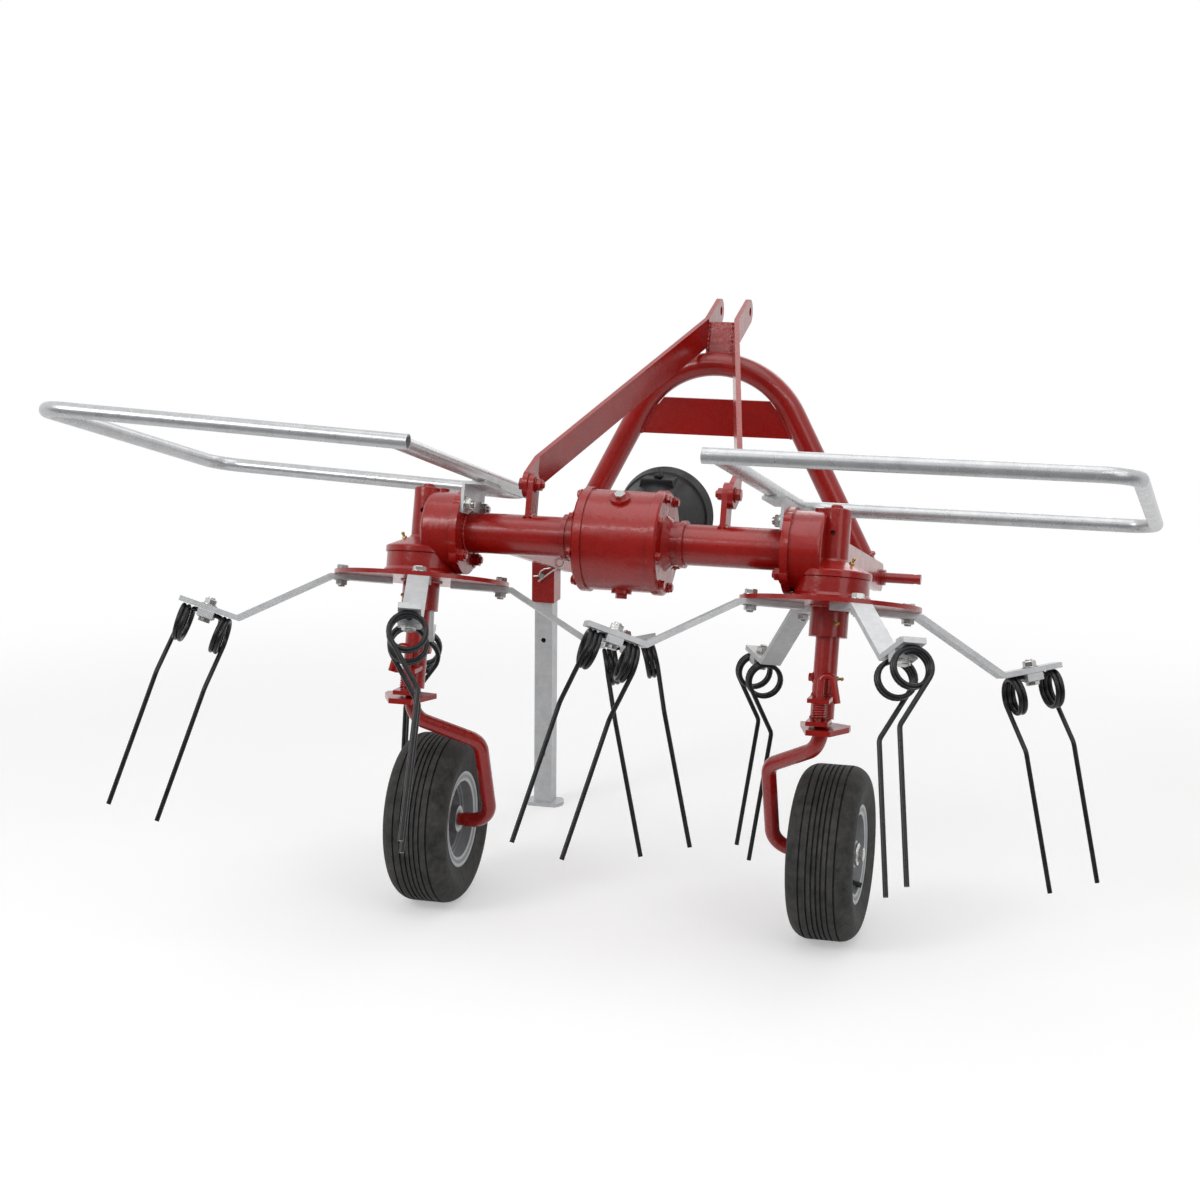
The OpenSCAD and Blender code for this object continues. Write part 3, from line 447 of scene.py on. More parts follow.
zinc_bright = zinc("zinc_bright", (0.45, 0.46, 0.47), (0.55, 0.56, 0.57), 0.24, 0.34, 0.55)
zinc_satin = zinc("zinc_satin", (0.48, 0.49, 0.50), (0.58, 0.59, 0.60), 0.36, 0.50, 0.35)
bright_steel = turned_steel("bright_steel")
plug_coat = half_painted("plug_coat", turned_steel, BEAM_HEIGHT)

brass, tree, shader, place = finish("brass", metallic=1.0)
tone(tree, shader, noise(tree, place, 0.004), (0.34, 0.22, 0.06), (0.50, 0.34, 0.12))
polish(tree, shader, noise(tree, place, 0.002), 0.2, 0.4)
metals = (zinc_bright, zinc_satin, bright_steel, plug_coat, brass)
print("metals:", ", ".join(metal.name for metal in metals))

# %% Black coat, rubber and plastic
tine_black, tree, shader, place = finish("tine_black", shine=0.30)
tone(tree, shader, noise(tree, place, 0.02), (0.007, 0.007, 0.008), (0.016, 0.016, 0.018))
polish(tree, shader, noise(tree, place, 0.01), 0.24, 0.36)
relief(tree, shader, (noise(tree, place, 0.006, 2), 0.12, 0.0002))

tyre_rubber, tree, shader, place = finish("tyre_rubber", shine=0.25)
dust = noise(tree, place, 0.03, 12, 0.78)
tone(tree, shader, dust, (0.018, 0.018, 0.018), (0.085, 0.083, 0.079), 0.36, 0.72)
polish(tree, shader, dust, 0.62, 0.86)
wear = noise(tree, place, 0.004, 6, 0.7)
pores = noise(tree, place, 0.0012, 2)
relief(tree, shader, (wear, 0.5, 0.0006), (pores, 0.25, 0.0002))

bell_plastic, tree, shader, place = finish("bell_plastic", shine=0.15)
tone(tree, shader, noise(tree, place, 0.05), (0.010, 0.011, 0.012), (0.018, 0.019, 0.021))
polish(tree, shader, noise(tree, place, 0.01), 0.36, 0.5)
relief(tree, shader, (noise(tree, place, 0.0016, 2), 0.3, 0.0002))
print("coats:", tine_black.name, tyre_rubber.name, bell_plastic.name)

# %% [markdown]
# A pressed rim is stepped in rings about its axle. The rings raise a relief, and the paint also goes
# darker and paler ring by ring, a painted shade of the steps. Both wheels share the axle's height and
# its place along the machine, so one pattern of rings fits them both.

# %% Rim paint
RING_PITCH = 0.014
# A wave texture of scale 1 has this many rings to a metre.
RINGS_PER_METRE = 20 / (2 * math.pi)
WEAR_SHARE = 0.4

rim_paint, tree, shader, place = finish("rim_paint", metallic=0.55)
rim_low, rim_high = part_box("rim_left")
axle = (rim_low + rim_high) / 2
centred = tree.nodes.new("ShaderNodeMapping")
centred.inputs["Location"].default_value = (0, -axle.y, -axle.z)
tree.links.new(place, centred.inputs["Vector"])
rings = tree.nodes.new("ShaderNodeTexWave")
rings.wave_type = "RINGS"
rings.rings_direction = "X"
rings.inputs["Scale"].default_value = 1 / (RINGS_PER_METRE * RING_PITCH)
tree.links.new(centred.outputs[0], rings.inputs["Vector"])
steps = rings.outputs["Fac"]
# The paint goes darker and paler with each ring, a painted shade of the pressed steps, with random mottle
# mixed in.
step_shade_and_mottle = blend_of(tree, steps, noise(tree, place, 0.03), WEAR_SHARE)
tone(tree, shader, step_shade_and_mottle, (0.19, 0.20, 0.21), (0.42, 0.43, 0.44))
polish(tree, shader, noise(tree, place, 0.02), 0.32, 0.46)
relief(tree, shader, (steps, 0.8, 0.0016), (noise(tree, place, 0.003, 2), 0.15, 0.0002))
print("rim paint with rings every", RING_PITCH * 1000, "mm")

# %% [markdown]
# ## Dressing the CAD nodes
#
# The solids keep their shapes and only change their coat. A short table by the start of a node's name
# says which finish it gets; whatever it doesn't name is red.

# %% Finish every node
COATS = [
    ("gearbox_plugs", plug_coat),
    ("gearbox", red_casting),
    ("housing", red_casting),
    ("guard_rail", zinc_bright),
    ("guard_bracket", zinc_satin),
    ("stand_leg", zinc_satin),
    ("stand_pin", bright_steel),
    ("pto_shaft", bright_steel),
    ("pto_guard", bell_plastic),
    ("rotor_arms", zinc_satin),
    ("tine_clips", zinc_satin),
    ("tines", tine_black),
    ("tyre", tyre_rubber),
    ("rim", rim_paint),
]
for name, node in nodes.items():
    coat = next((c for start, c in COATS if name.startswith(start)), red_gloss)
    node.data.materials.clear()
    node.data.materials.append(coat)
print("coated", len(nodes), "nodes")

# %% [markdown]
# ## Tools for new pieces
#
# New pieces are made once, near the origin, and then carried to their places. `scatter` copies a
# modelled piece to a list of places, `join` makes one object of the copies and `hang` puts that on a
# body. A mirrored copy comes out inside out, so its faces are turned back.

# %% Tools for new pieces


def start_piece():
    if bpy.context.mode != "OBJECT":
        bpy.ops.object.mode_set(mode="OBJECT")
    bpy.ops.object.select_all(action="DESELECT")


def join(parts, name):
    """Joins objects into one, with the name given."""
    start_piece()
    for part in parts:
        part.select_set(True)
    bpy.context.view_layer.objects.active = parts[0]
    if len(parts) > 1:
        bpy.ops.object.join()
    whole = bpy.context.object
    whole.name = name
    whole.data.name = name
    return whole


def smooth(piece, degrees):
    """Shades a piece smooth, save for edges sharper than the angle."""
    start_piece()
    piece.select_set(True)
    bpy.context.view_layer.objects.active = piece
    bpy.ops.object.shade_smooth_by_angle(angle=math.radians(degrees))
    return piece


def scatter(master, places):
    """Copies of a modelled piece at each place, as a list of objects; the master itself goes."""
    copies = []
    for place in places:
        copy = master.copy()
        copy.data = master.data.copy()
        copy.data.transform(place)
        if place.determinant() < 0:
            copy.data.flip_normals()
        bpy.context.collection.objects.link(copy)
        copies.append(copy)
    bpy.data.objects.remove(master)
    return copies


def hang(piece, body, coat):
    """Gives a finished piece its coat and hangs it on a body."""
    piece.data.materials.clear()
    piece.data.materials.append(coat)
    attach(piece, body)
    print(piece.name, "rides on", body, "with", len(piece.data.polygons), "faces")


print("tools for new pieces ready")

# %% [markdown]
# ## Wire
#
# A wire piece is drawn as a path and given a round bevel, then turned into a mesh. The path may be a
# straight run, a bend or a helix: each is a short list of points. `bend_between` rounds a corner with
# an arc, as a bending former would.

# %% Wire helpers


def bar(points, radius, roundness, swells=None):
    """A round bar along points, as a closed mesh; swells widen it point by point."""
    start_piece()
    bpy.ops.curve.primitive_nurbs_path_add()
    path = bpy.context.object
    path.data.splines.clear()
    line = path.data.splines.new("POLY")
    line.points.add(len(points) - 1)
    for i, (spot, point) in enumerate(zip(line.points, points)):
        spot.co = (*point, 1)
        if swells:
            spot.radius = swells[i]
    path.data.dimensions = "3D"
    path.data.bevel_depth = radius
    path.data.bevel_resolution = roundness
    path.data.use_fill_caps = True
    bpy.ops.object.convert(target="MESH")
    return bpy.context.object


def wire(name, points, radius, roundness=3):
    """A smooth round wire along points."""
    made = bar(points, radius, roundness)
    made.name = name
    return smooth(made, 50)


def bend_between(a, b, c, radius, steps=6):
    """The arc that rounds corner b between points a and c."""
    a, b, c = Vector(a), Vector(b), Vector(c)
    into, out = (b - a).normalized(), (c - b).normalized()
    angle = into.angle(out)
    back = radius * math.tan(angle / 2)
    start = b - into * back
    inward = (out - into * into.dot(out)).normalized()
    centre = start + inward * radius
    spots = []
    for i in range(steps + 1):
        t = angle * i / steps
        spots.append(centre - inward * radius * math.cos(t) + into * radius * math.sin(t))
    return spots


def bent(points, radius):
    """A path with its inner corners rounded."""
    path = [Vector(points[0])]
    for a, b, c in zip(points, points[1:], points[2:]):
        path += bend_between(a, b, c, radius)
    return path + [Vector(points[-1])]


print("wire helpers ready")

# %% [markdown]
# ## Spring tines
#
# A tine is one length of 9 mm spring wire: up one leg, round a coil, across under the arm, round the
# other coil and down again. The solid in the CAD model closes its coils as rings. Here the wire
# is wound as a true helix, half of it first: from the bridge, round the coil, out along the leg.
# The other half is its mirror image, so the two coils wind opposite ways, as real ones do.

# %% Wind one tine
WIRE_R = 0.0045
COIL_R = 0.032
COIL_Z = -COIL_R - WIRE_R
LEG_X = 0.0475
COIL_PITCH = 0.0091
TURN_STEPS = 28
KNEE_TRAIL = 0.027
KNEE_DROP = 0.102
LEG_LENGTH = 0.262
TIP_TRAIL = 0.021
KNEE_ROUND = 0.020
FULL_TURNS = 2
BRIDGE_ROUND = 0.004

knee = Vector((LEG_X, -KNEE_TRAIL, COIL_Z - KNEE_DROP))
tip = Vector((LEG_X, -TIP_TRAIL, COIL_Z - KNEE_DROP - LEG_LENGTH))
leave = math.atan2(KNEE_TRAIL, KNEE_DROP) - math.acos(COIL_R / math.hypot(KNEE_TRAIL, KNEE_DROP))
last_angle = -math.pi / 2 - leave
sweep = math.pi / 2 - last_angle + FULL_TURNS * 2 * math.pi
inner_x = LEG_X - COIL_PITCH * sweep / (2 * math.pi)


def coil_point(angle, x):
    return Vector((x, COIL_R * math.cos(angle), COIL_Z + COIL_R * math.sin(angle)))


coil = []
coil_steps = round(TURN_STEPS * sweep / (2 * math.pi))
for i in range(1, coil_steps + 1):
    share = i / coil_steps
    coil.append(coil_point(math.pi / 2 - sweep * share, inner_x + (LEG_X - inner_x) * share))
half_path = [Vector((0, 0, -WIRE_R)), Vector((inner_x - BRIDGE_ROUND, 0, -WIRE_R))]
half_path += coil + bend_between(coil[-1], knee, tip, KNEE_ROUND) + [tip]
whole_path = [Vector((-p.x, p.y, p.z)) for p in reversed(half_path[1:])] + half_path
tine = wire("tine", whole_path, WIRE_R, 4)
print("tine:", len(whole_path), "points,", round(sweep / (2 * math.pi), 2), "turns in each coil")

# %% [markdown]
# Four tines go under the ends of each rotor's arms. The same chain of steps that places the arms in
# the CAD source places the tines: out to the rotor, round by the arm's angle, along the arm, tilted up.

# %% Hang the tines on both rotors
ARM_PHASE = 28
ARM_COUNT = 4
ARM_STEP = 360 / ARM_COUNT
ARM_T = 0.010
ARM_END_RISE = 15
TINE_BOLT_R = 0.396
TINE_GAP = 0.0005
DISC_DROP = 0.093
DISC_T = 0.008
ARM_FALL = 0.093
ARM_R2 = 0.338
arm_low = -DISC_DROP - DISC_T / 2 - ARM_T / 2 - ARM_FALL
end_rise = math.radians(ARM_END_RISE)
tine_z = arm_low + (TINE_BOLT_R - ARM_R2) * math.tan(end_rise)
tine_z -= (ARM_T / 2 + TINE_GAP) / math.cos(end_rise)


def arm_places(side):
    """The frames of a rotor's arms: X outward along the arm."""
    phase = ARM_PHASE if side > 0 else 180 - (ARM_STEP / 2 - ARM_PHASE)
    hub = machine @ on_side(side) @ shift(ROTOR_X, 0, 0)
    return [hub @ turn(phase + i * ARM_STEP, "Z") for i in range(ARM_COUNT)]


def arm_ends(side):
    """The frames under the arms' ends, where the tines are bolted."""
    under = shift(TINE_BOLT_R, 0, tine_z) @ turn(-ARM_END_RISE, "Y")
    return [arm @ under for arm in arm_places(side)]


for word, side in SIDES.items():
    spare = tine.copy()
    spare.data = tine.data.copy()
    wound = join(scatter(spare, arm_ends(side)), f"wound_tines_{word}")
    hang(wound, f"rotor_{word}", tine_black)
    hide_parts(f"tines_{word}")
bpy.data.objects.remove(tine)

# %% [markdown]
# ## Bolts and nuts
#
# A bolt head starts as a six-sided cylinder with a washer under it. Its top edges are bevelled, as the
# turned chamfer of a real head would, and its crown is inset and sunk a hair. A nut has the end of the
# bolt standing out of it.

# %% Model a bolt head and a nut
# Shares of a head's height.
CHAMFER = 0.16
CROWN_SINK = 0.06
HEAD_WASHER = 0.25
NUT_WASHER = 0.2
# Shares of a head's radius.
CROWN_INSET = 0.12
WASHER_WIDE = 1.18
BOLT_END = 0.56
# Shares of a washer's or disc's own thickness.
SOFT_EDGE = 0.25
SEATED = 0.9


def hexagon(radius, height, name):
    """A hexagon with a chamfered top and a dished crown, standing on z = 0."""
    start_piece()
    middle = (0, 0, height / 2)
    bpy.ops.mesh.primitive_cylinder_add(vertices=6, radius=radius, depth=height, location=middle)
    head = bpy.context.object
    bpy.ops.object.transform_apply(location=True, rotation=True, scale=True)
    bpy.ops.object.mode_set(mode="EDIT")
    bpy.ops.mesh.select_all(action="DESELECT")
    bpy.ops.object.mode_set(mode="OBJECT")
    for face in head.data.polygons:
        face.select = face.normal.z > 0.9
    bpy.ops.object.mode_set(mode="EDIT")
    bpy.ops.mesh.select_mode(type="FACE")
    bpy.ops.mesh.bevel(offset=height * CHAMFER, segments=2, affect="EDGES")
    bpy.ops.mesh.inset(thickness=radius * CROWN_INSET, depth=-height * CROWN_SINK)
    bpy.ops.object.mode_set(mode="OBJECT")
    head.name = name
    return head


def ring(radius, height, name, base=0.0, sides=28):
    """A low disc with a softened edge, such as a washer or a bolt's end."""
    start_piece()
    middle = (0, 0, base + height / 2)
    bpy.ops.mesh.primitive_cylinder_add(vertices=sides, radius=radius, depth=height, location=middle)
    disc = bpy.context.object
    bpy.ops.object.transform_apply(location=True, rotation=True, scale=True)
    soften = disc.modifiers.new("edge", "BEVEL")
    soften.width = height * SOFT_EDGE
    soften.segments = 2
    bpy.ops.object.modifier_apply(modifier="edge")
    disc.name = name
    return disc


def bolt_head(radius, height):
    washer_t = height * HEAD_WASHER
    head = hexagon(radius, height, "bolt_head")
    head.data.transform(shift(0, 0, washer_t * SEATED))
    washer = ring(radius * WASHER_WIDE, washer_t, "washer")
    return smooth(join([head, washer], "bolt_head"), 30)


def bolt_nut(radius, height, stub):
    washer_t = height * NUT_WASHER
    nut = hexagon(radius, height, "bolt_nut")
    nut.data.transform(shift(0, 0, washer_t * SEATED))
    washer = ring(radius * WASHER_WIDE, washer_t, "washer")
    end = ring(radius * BOLT_END, stub, "bolt_end", base=height, sides=20)
    return smooth(join([nut, washer, end], "bolt_nut"), 30)


print("bolt tools ready")

# %% [markdown]
# On each rotor one bolt holds an arm to the disc, head above and nut below, and another clamps the
# tine and its clip to the arm's end. They turn with the rotor.

# %% Bolts on the rotors
ARM_BOLT_R = 0.150
ARM_HEX = 0.0118
ARM_HEX_H = 0.0085
TINE_HEX = 0.0125
TINE_HEX_H = 0.0105
CLIP_LOW = -0.014
CLIP_HEX_H = 0.007
ROTOR_STUB = 0.005

for word, side in SIDES.items():
    arms = arm_places(side)
    ends = arm_ends(side)
    disc_top = shift(ARM_BOLT_R, 0, -DISC_DROP + DISC_T / 2)
    arm_under = shift(ARM_BOLT_R, 0, -DISC_DROP - DISC_T / 2 - ARM_T) @ turn(180, "X")
    parts = scatter(bolt_head(ARM_HEX, ARM_HEX_H), [a @ disc_top for a in arms])
    parts += scatter(bolt_nut(ARM_HEX, ARM_HEX_H, ROTOR_STUB), [a @ arm_under for a in arms])
    on_arm = shift(0, 0, TINE_GAP + ARM_T)
    parts += scatter(bolt_nut(TINE_HEX, TINE_HEX_H, ROTOR_STUB), [e @ on_arm for e in ends])
    under_clip = shift(0, 0, CLIP_LOW) @ turn(180, "X")
    parts += scatter(bolt_head(TINE_HEX, CLIP_HEX_H), [e @ under_clip for e in ends])
    hang(join(parts, f"rotor_bolts_{word}"), f"rotor_{word}", bright_steel)

# %% [markdown]
# ## Bolts on the frame
#
# The gearbox covers, the lower flange bolts, the stays' lugs and the lower arms were bolted before the
# paint went on, so those heads are red. The guards came last: their brackets have zinc bolts.

# %% Red bolts
COVER_FACE = 0.080
COVER_BOLT_R = 0.086
COVER_BOLTS = 8
FLANGE_X = 0.305
FLANGE_BOLT_R = 0.068
FLANGE_BOLT = FLANGE_BOLT_R * math.sin(math.radians(45))
STAY_BOLT = (0.196, 0.0, 0.096)
TAB_OUT = 0.005
LUG_IN = 0.016
LOWER_X = 0.345
LOWER_T = 0.015
LOWER_NUT_IN = 0.0215
LOWER_BOLTS_Y = (0.108, 0.134)
PIN_Z = 0.022
LEG_R = 0.0215
LEG_BOLT_Z = -0.2265
FRAME_HEX = 0.0125
FRAME_HEAD_H = 0.009
FRAME_NUT_H = 0.010
FRAME_STUB = 0.006
SMALL_HEX = 0.0085
SMALL_HEAD_H = 0.007
SUNK = 0.001

outward = turn(90, "Y")
inward = turn(-90, "Y")
heads, nuts, small = [], [], []
for side in SIDES.values():
    half = machine @ on_side(side)
    for i in range(COVER_BOLTS):
        round_cover = turn(360 / COVER_BOLTS * (i + 0.5), "X")
        small.append(half @ round_cover @ shift(COVER_FACE, 0, COVER_BOLT_R) @ outward)
    for y in (-FLANGE_BOLT, FLANGE_BOLT):
        nuts.append(half @ shift(FLANGE_X, y, -FLANGE_BOLT) @ inward)
    x, y, z = STAY_BOLT
    heads.append(half @ shift(x + TAB_OUT, y, z) @ outward)
    nuts.append(half @ shift(x - LUG_IN, y, z) @ inward)
    for y in LOWER_BOLTS_Y:
        heads.append(half @ shift(LOWER_X + LOWER_T / 2, y, PIN_Z) @ outward)
        nuts.append(half @ shift(LOWER_X - LOWER_NUT_IN, y, PIN_Z) @ inward)
    small.append(half @ shift(ROTOR_X - LEG_R + SUNK, 0, LEG_BOLT_Z) @ inward)
red_bolts = scatter(bolt_head(FRAME_HEX, FRAME_HEAD_H), heads)
red_bolts += scatter(bolt_nut(FRAME_HEX, FRAME_NUT_H, FRAME_STUB), nuts)
red_bolts += scatter(bolt_head(SMALL_HEX, SMALL_HEAD_H), small)
hang(join(red_bolts, "frame_bolts"), "frame", red_gloss)

# %% Zinc bolts on the guard brackets
BRACKET_FACE = 0.299
GUARD_STUB = 0.007

places = []
for side in SIDES.values():
    half = machine @ on_side(side)
    for y in (-FLANGE_BOLT, FLANGE_BOLT):
        places.append(half @ shift(BRACKET_FACE, y, FLANGE_BOLT) @ inward)
guard_bolts = join(scatter(bolt_nut(FRAME_HEX, FRAME_NUT_H, GUARD_STUB), places), "guard_bolts")
hang(guard_bolts, "frame", bright_steel)

# %% [markdown]
# ## Weld beads
#
# A weld is a wire-like bead that swells and shrinks along its way. Each bead is a path with a round
# bevel whose points' radius ripples, which reads as the overlapping scales of a hand-laid weld.

# %% Weld helper
BEAD_R = 0.0036
RIPPLE = 0.0032
# How much a bead's radius swings from point to point, and by how many radians the swing goes on.
SCALES = (0.22, 2.1)
DRIFT = (0.10, 0.7)


def bead(points, closed=False, radius=BEAD_R):
    """A weld bead along points, its scales about as long as RIPPLE."""
    points = [Vector(p) for p in points]
    if closed:
        points.append(points[0])
    dense = []
    for a, b in zip(points, points[1:]):
        steps = max(1, round((b - a).length / RIPPLE))
        dense += [a.lerp(b, i / steps) for i in range(steps)]
    dense.append(points[-1])
    swells = []
    for i in range(len(dense)):
        swells.append(1 + SCALES[0] * math.cos(SCALES[1] * i) + DRIFT[0] * math.sin(DRIFT[1] * i))
    return smooth(bar(dense, radius, 1, swells), 60)


def circle_points(place, radius, count=40):
    """Points of a circle about the Z axis of a place."""
    spots = []
    for i in range(count):
        t = 2 * math.pi * i / count
        spots.append(place @ Vector((radius * math.cos(t), radius * math.sin(t), 0)))
    return spots


print("weld helper ready")

# %% Red welds on the frame
BEAM_R = 0.038
LUG_T = 0.011
LUG_HALF = 0.022
ARCH_FOOT = (0.322, 0.760, 0.052)
ARCH_R = 0.025
ARCH_LEAN = 14
ARCH_SPLAY = 27.5
CROSS_LOW = 0.248
CROSS_H = 0.078
CROSS_HALF = 0.005
LEG_END = 0.300
LOCK_LEAN = math.radians(12)
EAR_GAP = 0.041
EAR_T = 0.008
SPACER_HALF = 0.0265
SPACER_Y = 0.671
SPACER_Z = (0.464, 0.530)
ARCH_SAG = 0.002
ARCH_BEAD = 0.0045
EAR_BEAD = 0.0028
SEAM = 0.001
SADDLE_STEPS = 12
EAR_STEPS = 10
EAR_FROM = -150
EAR_SWEEP = 120

welds = []
in_arch = machine @ shift(0, ARCH_FOOT[1], ARCH_FOOT[2]) @ turn(ARCH_LEAN, "X")
for side in SIDES.values():
    half = machine @ on_side(side)
    flange = half @ shift(FLANGE_X - SEAM, 0, 0) @ outward
    welds.append(bead(circle_points(flange, BEAM_R + SEAM), True))
    lug_x = STAY_BOLT[0] - TAB_OUT
    for x in (lug_x, lug_x - LUG_T):
        saddle = []
        for i in range(SADDLE_STEPS + 1):
            y = STAY_BOLT[1] - LUG_HALF + 2 * LUG_HALF * i / SADDLE_STEPS
            saddle.append(half @ Vector((x, y, math.sqrt(BEAM_R ** 2 - y ** 2))))
        welds.append(bead(saddle))
    slope = math.tan(math.radians(ARCH_SPLAY))
    foot = in_arch @ shift(side * ARCH_FOOT[0], 0, SEAM) @ turn(-side * ARCH_SPLAY, "Y")
    welds.append(bead(circle_points(foot, ARCH_R + SEAM), True, ARCH_BEAD))
    for y in (-CROSS_HALF, CROSS_HALF):
        ends = []
        for z in (CROSS_LOW, CROSS_LOW + CROSS_H):
            tube_in = math.sqrt(ARCH_R ** 2 - y ** 2) / math.cos(math.radians(ARCH_SPLAY))
            ends.append(in_arch @ Vector((side * (ARCH_FOOT[0] - z * slope - tube_in), y, z)))
        welds.append(bead(ends))
    for ear in (0, EAR_GAP):
        for face in (-EAR_T / 2, EAR_T / 2):
            seam = []
            for i in range(EAR_STEPS + 1):
                t = math.radians(EAR_FROM + EAR_SWEEP * i / EAR_STEPS)
                x, y = LEG_R * math.cos(t), LEG_R * math.sin(t)
                lean = (face + y * math.sin(LOCK_LEAN)) / math.cos(LOCK_LEAN)
                seam.append(half @ Vector((ROTOR_X + x, y, ear - LEG_END + lean)))
            welds.append(bead(seam, radius=EAR_BEAD))
for x in (-SPACER_HALF, SPACER_HALF):
    welds.append(bead([machine @ Vector((x, SPACER_Y, z)) for z in SPACER_Z]))
side_z = SPACER_Z[0] - ARCH_SAG
seat = [(-SPACER_HALF, side_z), (0, SPACER_Z[0]), (SPACER_HALF, side_z)]
welds.append(bead([machine @ Vector((x, SPACER_Y, z)) for x, z in seat], radius=ARCH_BEAD))
hang(join(welds, "frame_welds"), "frame", red_gloss)

# %% Welds under the discs and on the guards
HUB_R = 0.035
GUARD_IN = 0.276
GUARD_Z = 0.104
GUARD_R = 0.0135
BRACKET_HALF = 0.052
SEAM_OUT = 0.008
SEAM_Z = GUARD_Z - GUARD_R + 0.0015
GUARD_BEAD = 0.0042

for word, side in SIDES.items():
    under = machine @ on_side(side) @ shift(ROTOR_X, 0, -DISC_DROP - DISC_T / 2)
    seam = bead(circle_points(under, HUB_R + SEAM), True)
    hang(join([seam], f"hub_weld_{word}"), f"rotor_{word}", red_gloss)
seams = []
for side in SIDES.values():
    half = machine @ on_side(side)
    for x in (GUARD_IN - SEAM_OUT, GUARD_IN + SEAM_OUT):
        ends = [half @ Vector((x, y, SEAM_Z)) for y in (-BRACKET_HALF, BRACKET_HALF)]
        seams.append(bead(ends, radius=GUARD_BEAD))
hang(join(seams, "guard_welds"), "frame", zinc_satin)

# %% [markdown]
# ## Spring pins that lock the casters
#
# Each leg carries a hooked pin with a coil spring between two ears. The pin and its spring are drawn as
# wires, the spring as a helix; together they stand for the simpler solid of the CAD model.

# %% Lock pins with wound springs
PIN_BACK = LEG_R + 0.017
SPRING_R = 0.0105
SPRING_WIRE = 0.0021
SPRING_TURNS = 6
SPRING_STEPS = 20
SPRING_CLEAR = 0.003
HANDLE_R = 0.0065
HANDLE_ROUND = 0.010
HOOK_TOP = 0.076
HOOK_OUT = 0.021
HOOK_END = (0.032, 0.028)

sag = PIN_BACK * math.tan(LOCK_LEAN)
spring_low = EAR_T / 2 - sag
for word, side in SIDES.items():
    hook = [(0, -sag), (0, HOOK_TOP), (HOOK_OUT, HOOK_TOP), HOOK_END]
    handle = wire("handle", bent([(x, -PIN_BACK, z) for x, z in hook], HANDLE_ROUND), HANDLE_R, 4)
    turns = []
    steps = SPRING_TURNS * SPRING_STEPS
    for i in range(steps + 1):
        t = 2 * math.pi * i / SPRING_STEPS
        z = spring_low + SPRING_CLEAR + (EAR_GAP - EAR_T - 2 * SPRING_CLEAR) * i / steps
        turns.append((SPRING_R * math.cos(t), -PIN_BACK + SPRING_R * math.sin(t), z))
    spring = wire("spring", turns, SPRING_WIRE, 2)
    place = machine @ on_side(side) @ shift(ROTOR_X, 0, -LEG_END)
    pin = join(scatter(handle, [place]) + scatter(spring, [place]), f"spring_pin_{word}")
    hang(pin, "frame", red_gloss)
    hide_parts(f"lock_pin_{word}")

# %% [markdown]
# ## The stand's R-clip
#
# The pin through the stand's sleeve is kept by a hair clip of bright wire: one straight leg through the
# pin, a ring at the end, and a wavy leg that hugs the pin.

# %% R-clip
STAND = Vector((-0.3778, 0.758 - BEAM_BACK, 0.525))
CLIP_WIRE = 0.0019
CLIP_OUT = 0.034
CLIP_TURN = -38
LOOP_X = 0.052
LOOP_R = 0.009
LOOP_FROM = -150
LOOP_SWEEP = 300
LOOP_STEPS = 14
WAVE_ROUND = 0.006
# The clip's two legs, as points along the clip and across it.
STRAIGHT = [(-0.014, -0.0045), (0.040, -0.0045)]
WAVY = [(0.040, 0.0045), (0.026, 0.0035), (0.015, 0.009), (0.004, 0.010), (-0.006, 0.004), (-0.016, 0.011)]

loop = []
for i in range(LOOP_STEPS + 1):
    t = math.radians(LOOP_FROM + LOOP_SWEEP * i / LOOP_STEPS)
    loop.append(Vector((LOOP_X + LOOP_R * math.cos(t), 0, LOOP_R * math.sin(t))))
straight = [Vector((x, 0, z)) for x, z in STRAIGHT]
wavy = bent([(x, 0, z) for x, z in WAVY], WAVE_ROUND)
clip = wire("r_clip", straight + loop + wavy, CLIP_WIRE, 2)
clip_place = Matrix.Translation(STAND + Vector((0, -CLIP_OUT, 0))) @ turn(CLIP_TURN, "Y")
hang(join(scatter(clip, [clip_place]), "stand_clip"), "frame", bright_steel)

# %% [markdown]
# ## The bell's catch
#
# The guard bell has a flat pad moulded on top, with a small lever that holds the drive shaft's own
# guard. The pad is a block with its upper edges drawn in; the lever is a bevelled block on a foot.

# %% Catch on the bell
BELL_ROOT = 0.150
PAD = (0.074, 0.052, 0.030)
PAD_Y = BELL_ROOT + 0.104
PAD_TOP = 0.0825
PAD_TAPER = 0.86
PAD_EDGE = 0.003
# The foot and the lever: their sizes, and where their middles stand from the middle of the pad's top.
FOOT = (0.014, 0.022, 0.008)
FOOT_AT = Vector((0, -0.004, 0.003))
LEVER = (0.007, 0.034, 0.006)
LEVER_AT = Vector((0.003, -0.008, 0.010))
LEVER_TIP = 24
LEVER_SLEW = 14
LEVER_EDGE = 0.002


def block(size, middle, soften, name):
    """A block with rounded edges."""
    start_piece()
    bpy.ops.mesh.primitive_cube_add(size=1, location=middle)
    made = bpy.context.object
    made.scale = size
    bpy.ops.object.transform_apply(location=True, rotation=True, scale=True)
    bpy.ops.object.mode_set(mode="EDIT")
    bpy.ops.mesh.select_all(action="SELECT")
    bpy.ops.mesh.bevel(offset=soften, segments=3, affect="EDGES")
    bpy.ops.object.mode_set(mode="OBJECT")
    made.name = name
    return smooth(made, 35)


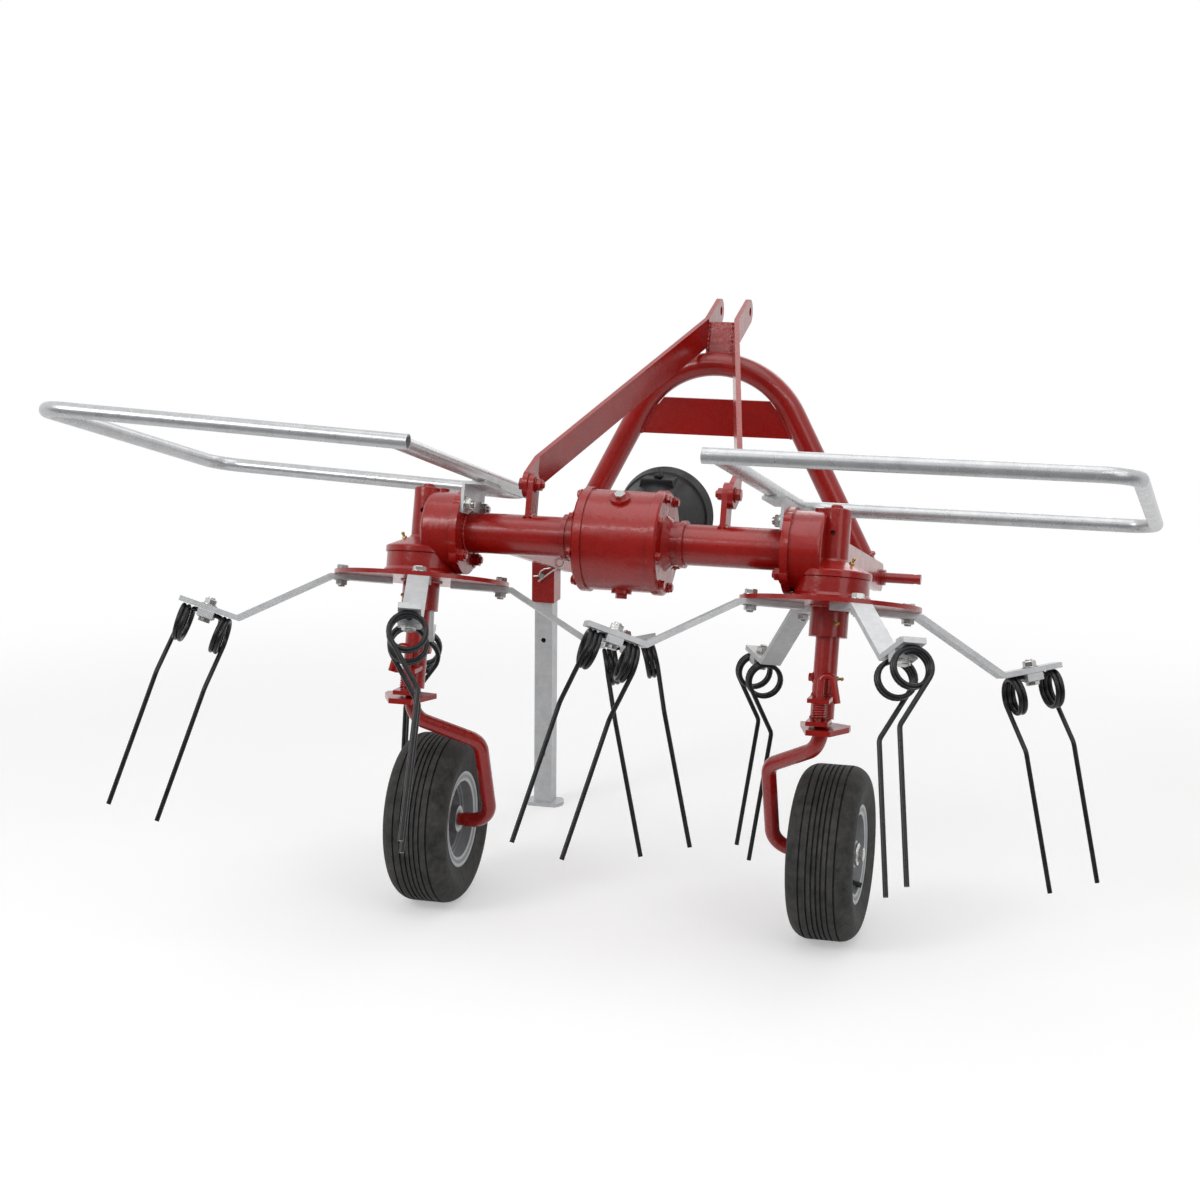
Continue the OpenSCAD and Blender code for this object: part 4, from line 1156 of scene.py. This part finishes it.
pad = block(PAD, (0, PAD_Y, PAD_TOP - PAD[2] / 2), PAD_EDGE, "pad")
for corner in pad.data.vertices:
    if corner.co.z > PAD_TOP - PAD[2] / 2:
        corner.co.x *= PAD_TAPER
pad_top = Vector((0, PAD_Y, PAD_TOP))
foot = block(FOOT, pad_top + FOOT_AT, LEVER_EDGE, "foot")
lever = block(LEVER, (0, 0, 0), LEVER_EDGE, "lever")
lever.data.transform(shift(*(pad_top + LEVER_AT)) @ turn(LEVER_TIP, "X") @ turn(LEVER_SLEW, "Z"))
catch = join(scatter(join([pad, foot, lever], "catch"), [level]), "bell_catch")
hang(catch, "frame", bell_plastic)

# %% [markdown]
# ## Wheel and grease fittings
#
# A wheel runs on a plain axle that ends in a washer and nut. Its rim has a valve in a hole. Grease
# nipples sit on the housings' cones and on the rotors' hubs: small turned brass pieces.

# %% Axle nuts and valves
WHEEL_X = 0.391
WHEEL_Y = 0.060
TYRE_R = 0.165
HUB_HALF = 0.046
AXLE_R = 0.0125
CAP_R = AXLE_R * 1.75
CAP_H = 0.006
AXLE_HEX = AXLE_R * 1.12
AXLE_NUT_H = 0.011
VALVE_R = 0.0042
VALVE_CAP_R = 0.0052
VALVE_TURN = 200
STEM_ROUND = 0.006
# A valve's stem and its cap, as points out along the axle and away from it.
STEM = [(0.026, 0.062), (0.038, 0.066), (0.048, 0.070)]
STEM_CAP = [(0.046, 0.0692), (0.055, 0.0728)]

for word, side in SIDES.items():
    wheel = on_side(side) @ shift(WHEEL_X, WHEEL_Y - BEAM_BACK, TYRE_R)
    cap = ring(CAP_R, CAP_H, "cap", sides=36)
    nut = hexagon(AXLE_HEX, AXLE_NUT_H, "nut")
    nut.data.transform(shift(0, 0, CAP_H - SUNK))
    cap_and_nut = smooth(join([cap, nut], "axle_nut"), 30)
    axle_end = wheel @ shift(HUB_HALF, 0, 0) @ outward
    axle_nut = join(scatter(cap_and_nut, [axle_end]), f"axle_nut_{word}")
    hang(axle_nut, f"wheel_{word}", bright_steel)
    stem = wire("stem", bent([(x, 0, z) for x, z in STEM], STEM_ROUND), VALVE_R)
    stem_cap = wire("stem_cap", [(x, 0, z) for x, z in STEM_CAP], VALVE_CAP_R)
    valve = join([stem, stem_cap], "valve")
    valve = join(scatter(valve, [wheel @ turn(VALVE_TURN, "X")]), f"valve_{word}")
    hang(valve, f"wheel_{word}", tyre_rubber)

# %% Grease nipples
NIPPLE_R = 0.0034
NIPPLE_HEX = NIPPLE_R * 1.5
NIPPLE_HEX_H = 0.004
WAIST_R = NIPPLE_R * 0.75
WAIST_H = 0.006
WAIST_LOW = 0.003
BALL_Z = 0.0105
NIPPLE_SUNK = 0.0005
HUB_NIPPLE_TURN = -60
HUB_NIPPLE_Z = -0.128
# A nipple on a cone: its distance from the axis and its height, then its turn and its lean.
CONE = (0.038, -0.0200)
CONE_TURN = -20
CONE_LEAN = 25


def nipple():
    """A turned nipple: hexagon, waist and ball, along Z."""
    foot = hexagon(NIPPLE_HEX, NIPPLE_HEX_H, "foot")
    waist = ring(WAIST_R, WAIST_H, "waist", base=WAIST_LOW, sides=16)
    start_piece()
    middle = (0, 0, BALL_Z)
    bpy.ops.mesh.primitive_uv_sphere_add(segments=16, ring_count=8, radius=NIPPLE_R, location=middle)
    ball = bpy.context.object
    bpy.ops.object.transform_apply(location=True, rotation=True, scale=True)
    return smooth(join([foot, waist, ball], "nipple"), 50)


for word, side in SIDES.items():
    hub = machine @ on_side(side) @ shift(ROTOR_X, 0, 0)
    on_hub = hub @ turn(HUB_NIPPLE_TURN, "Z") @ shift(HUB_R - NIPPLE_SUNK, 0, HUB_NIPPLE_Z) @ outward
    fitting = join(scatter(nipple(), [on_hub]), f"hub_nipple_{word}")
    hang(fitting, f"rotor_{word}", brass)
places = []
for side in SIDES.values():
    hub = machine @ on_side(side) @ shift(ROTOR_X, 0, 0)
    on_cone = shift(CONE[0], 0, CONE[1]) @ turn(CONE_LEAN, "Y")
    places.append(hub @ turn(CONE_TURN, "Z") @ on_cone)
    places.append(hub @ shift(LEG_R - NIPPLE_SUNK, 0, LEG_BOLT_Z) @ outward)
hang(join(scatter(nipple(), places), "frame_nipples"), "frame", brass)
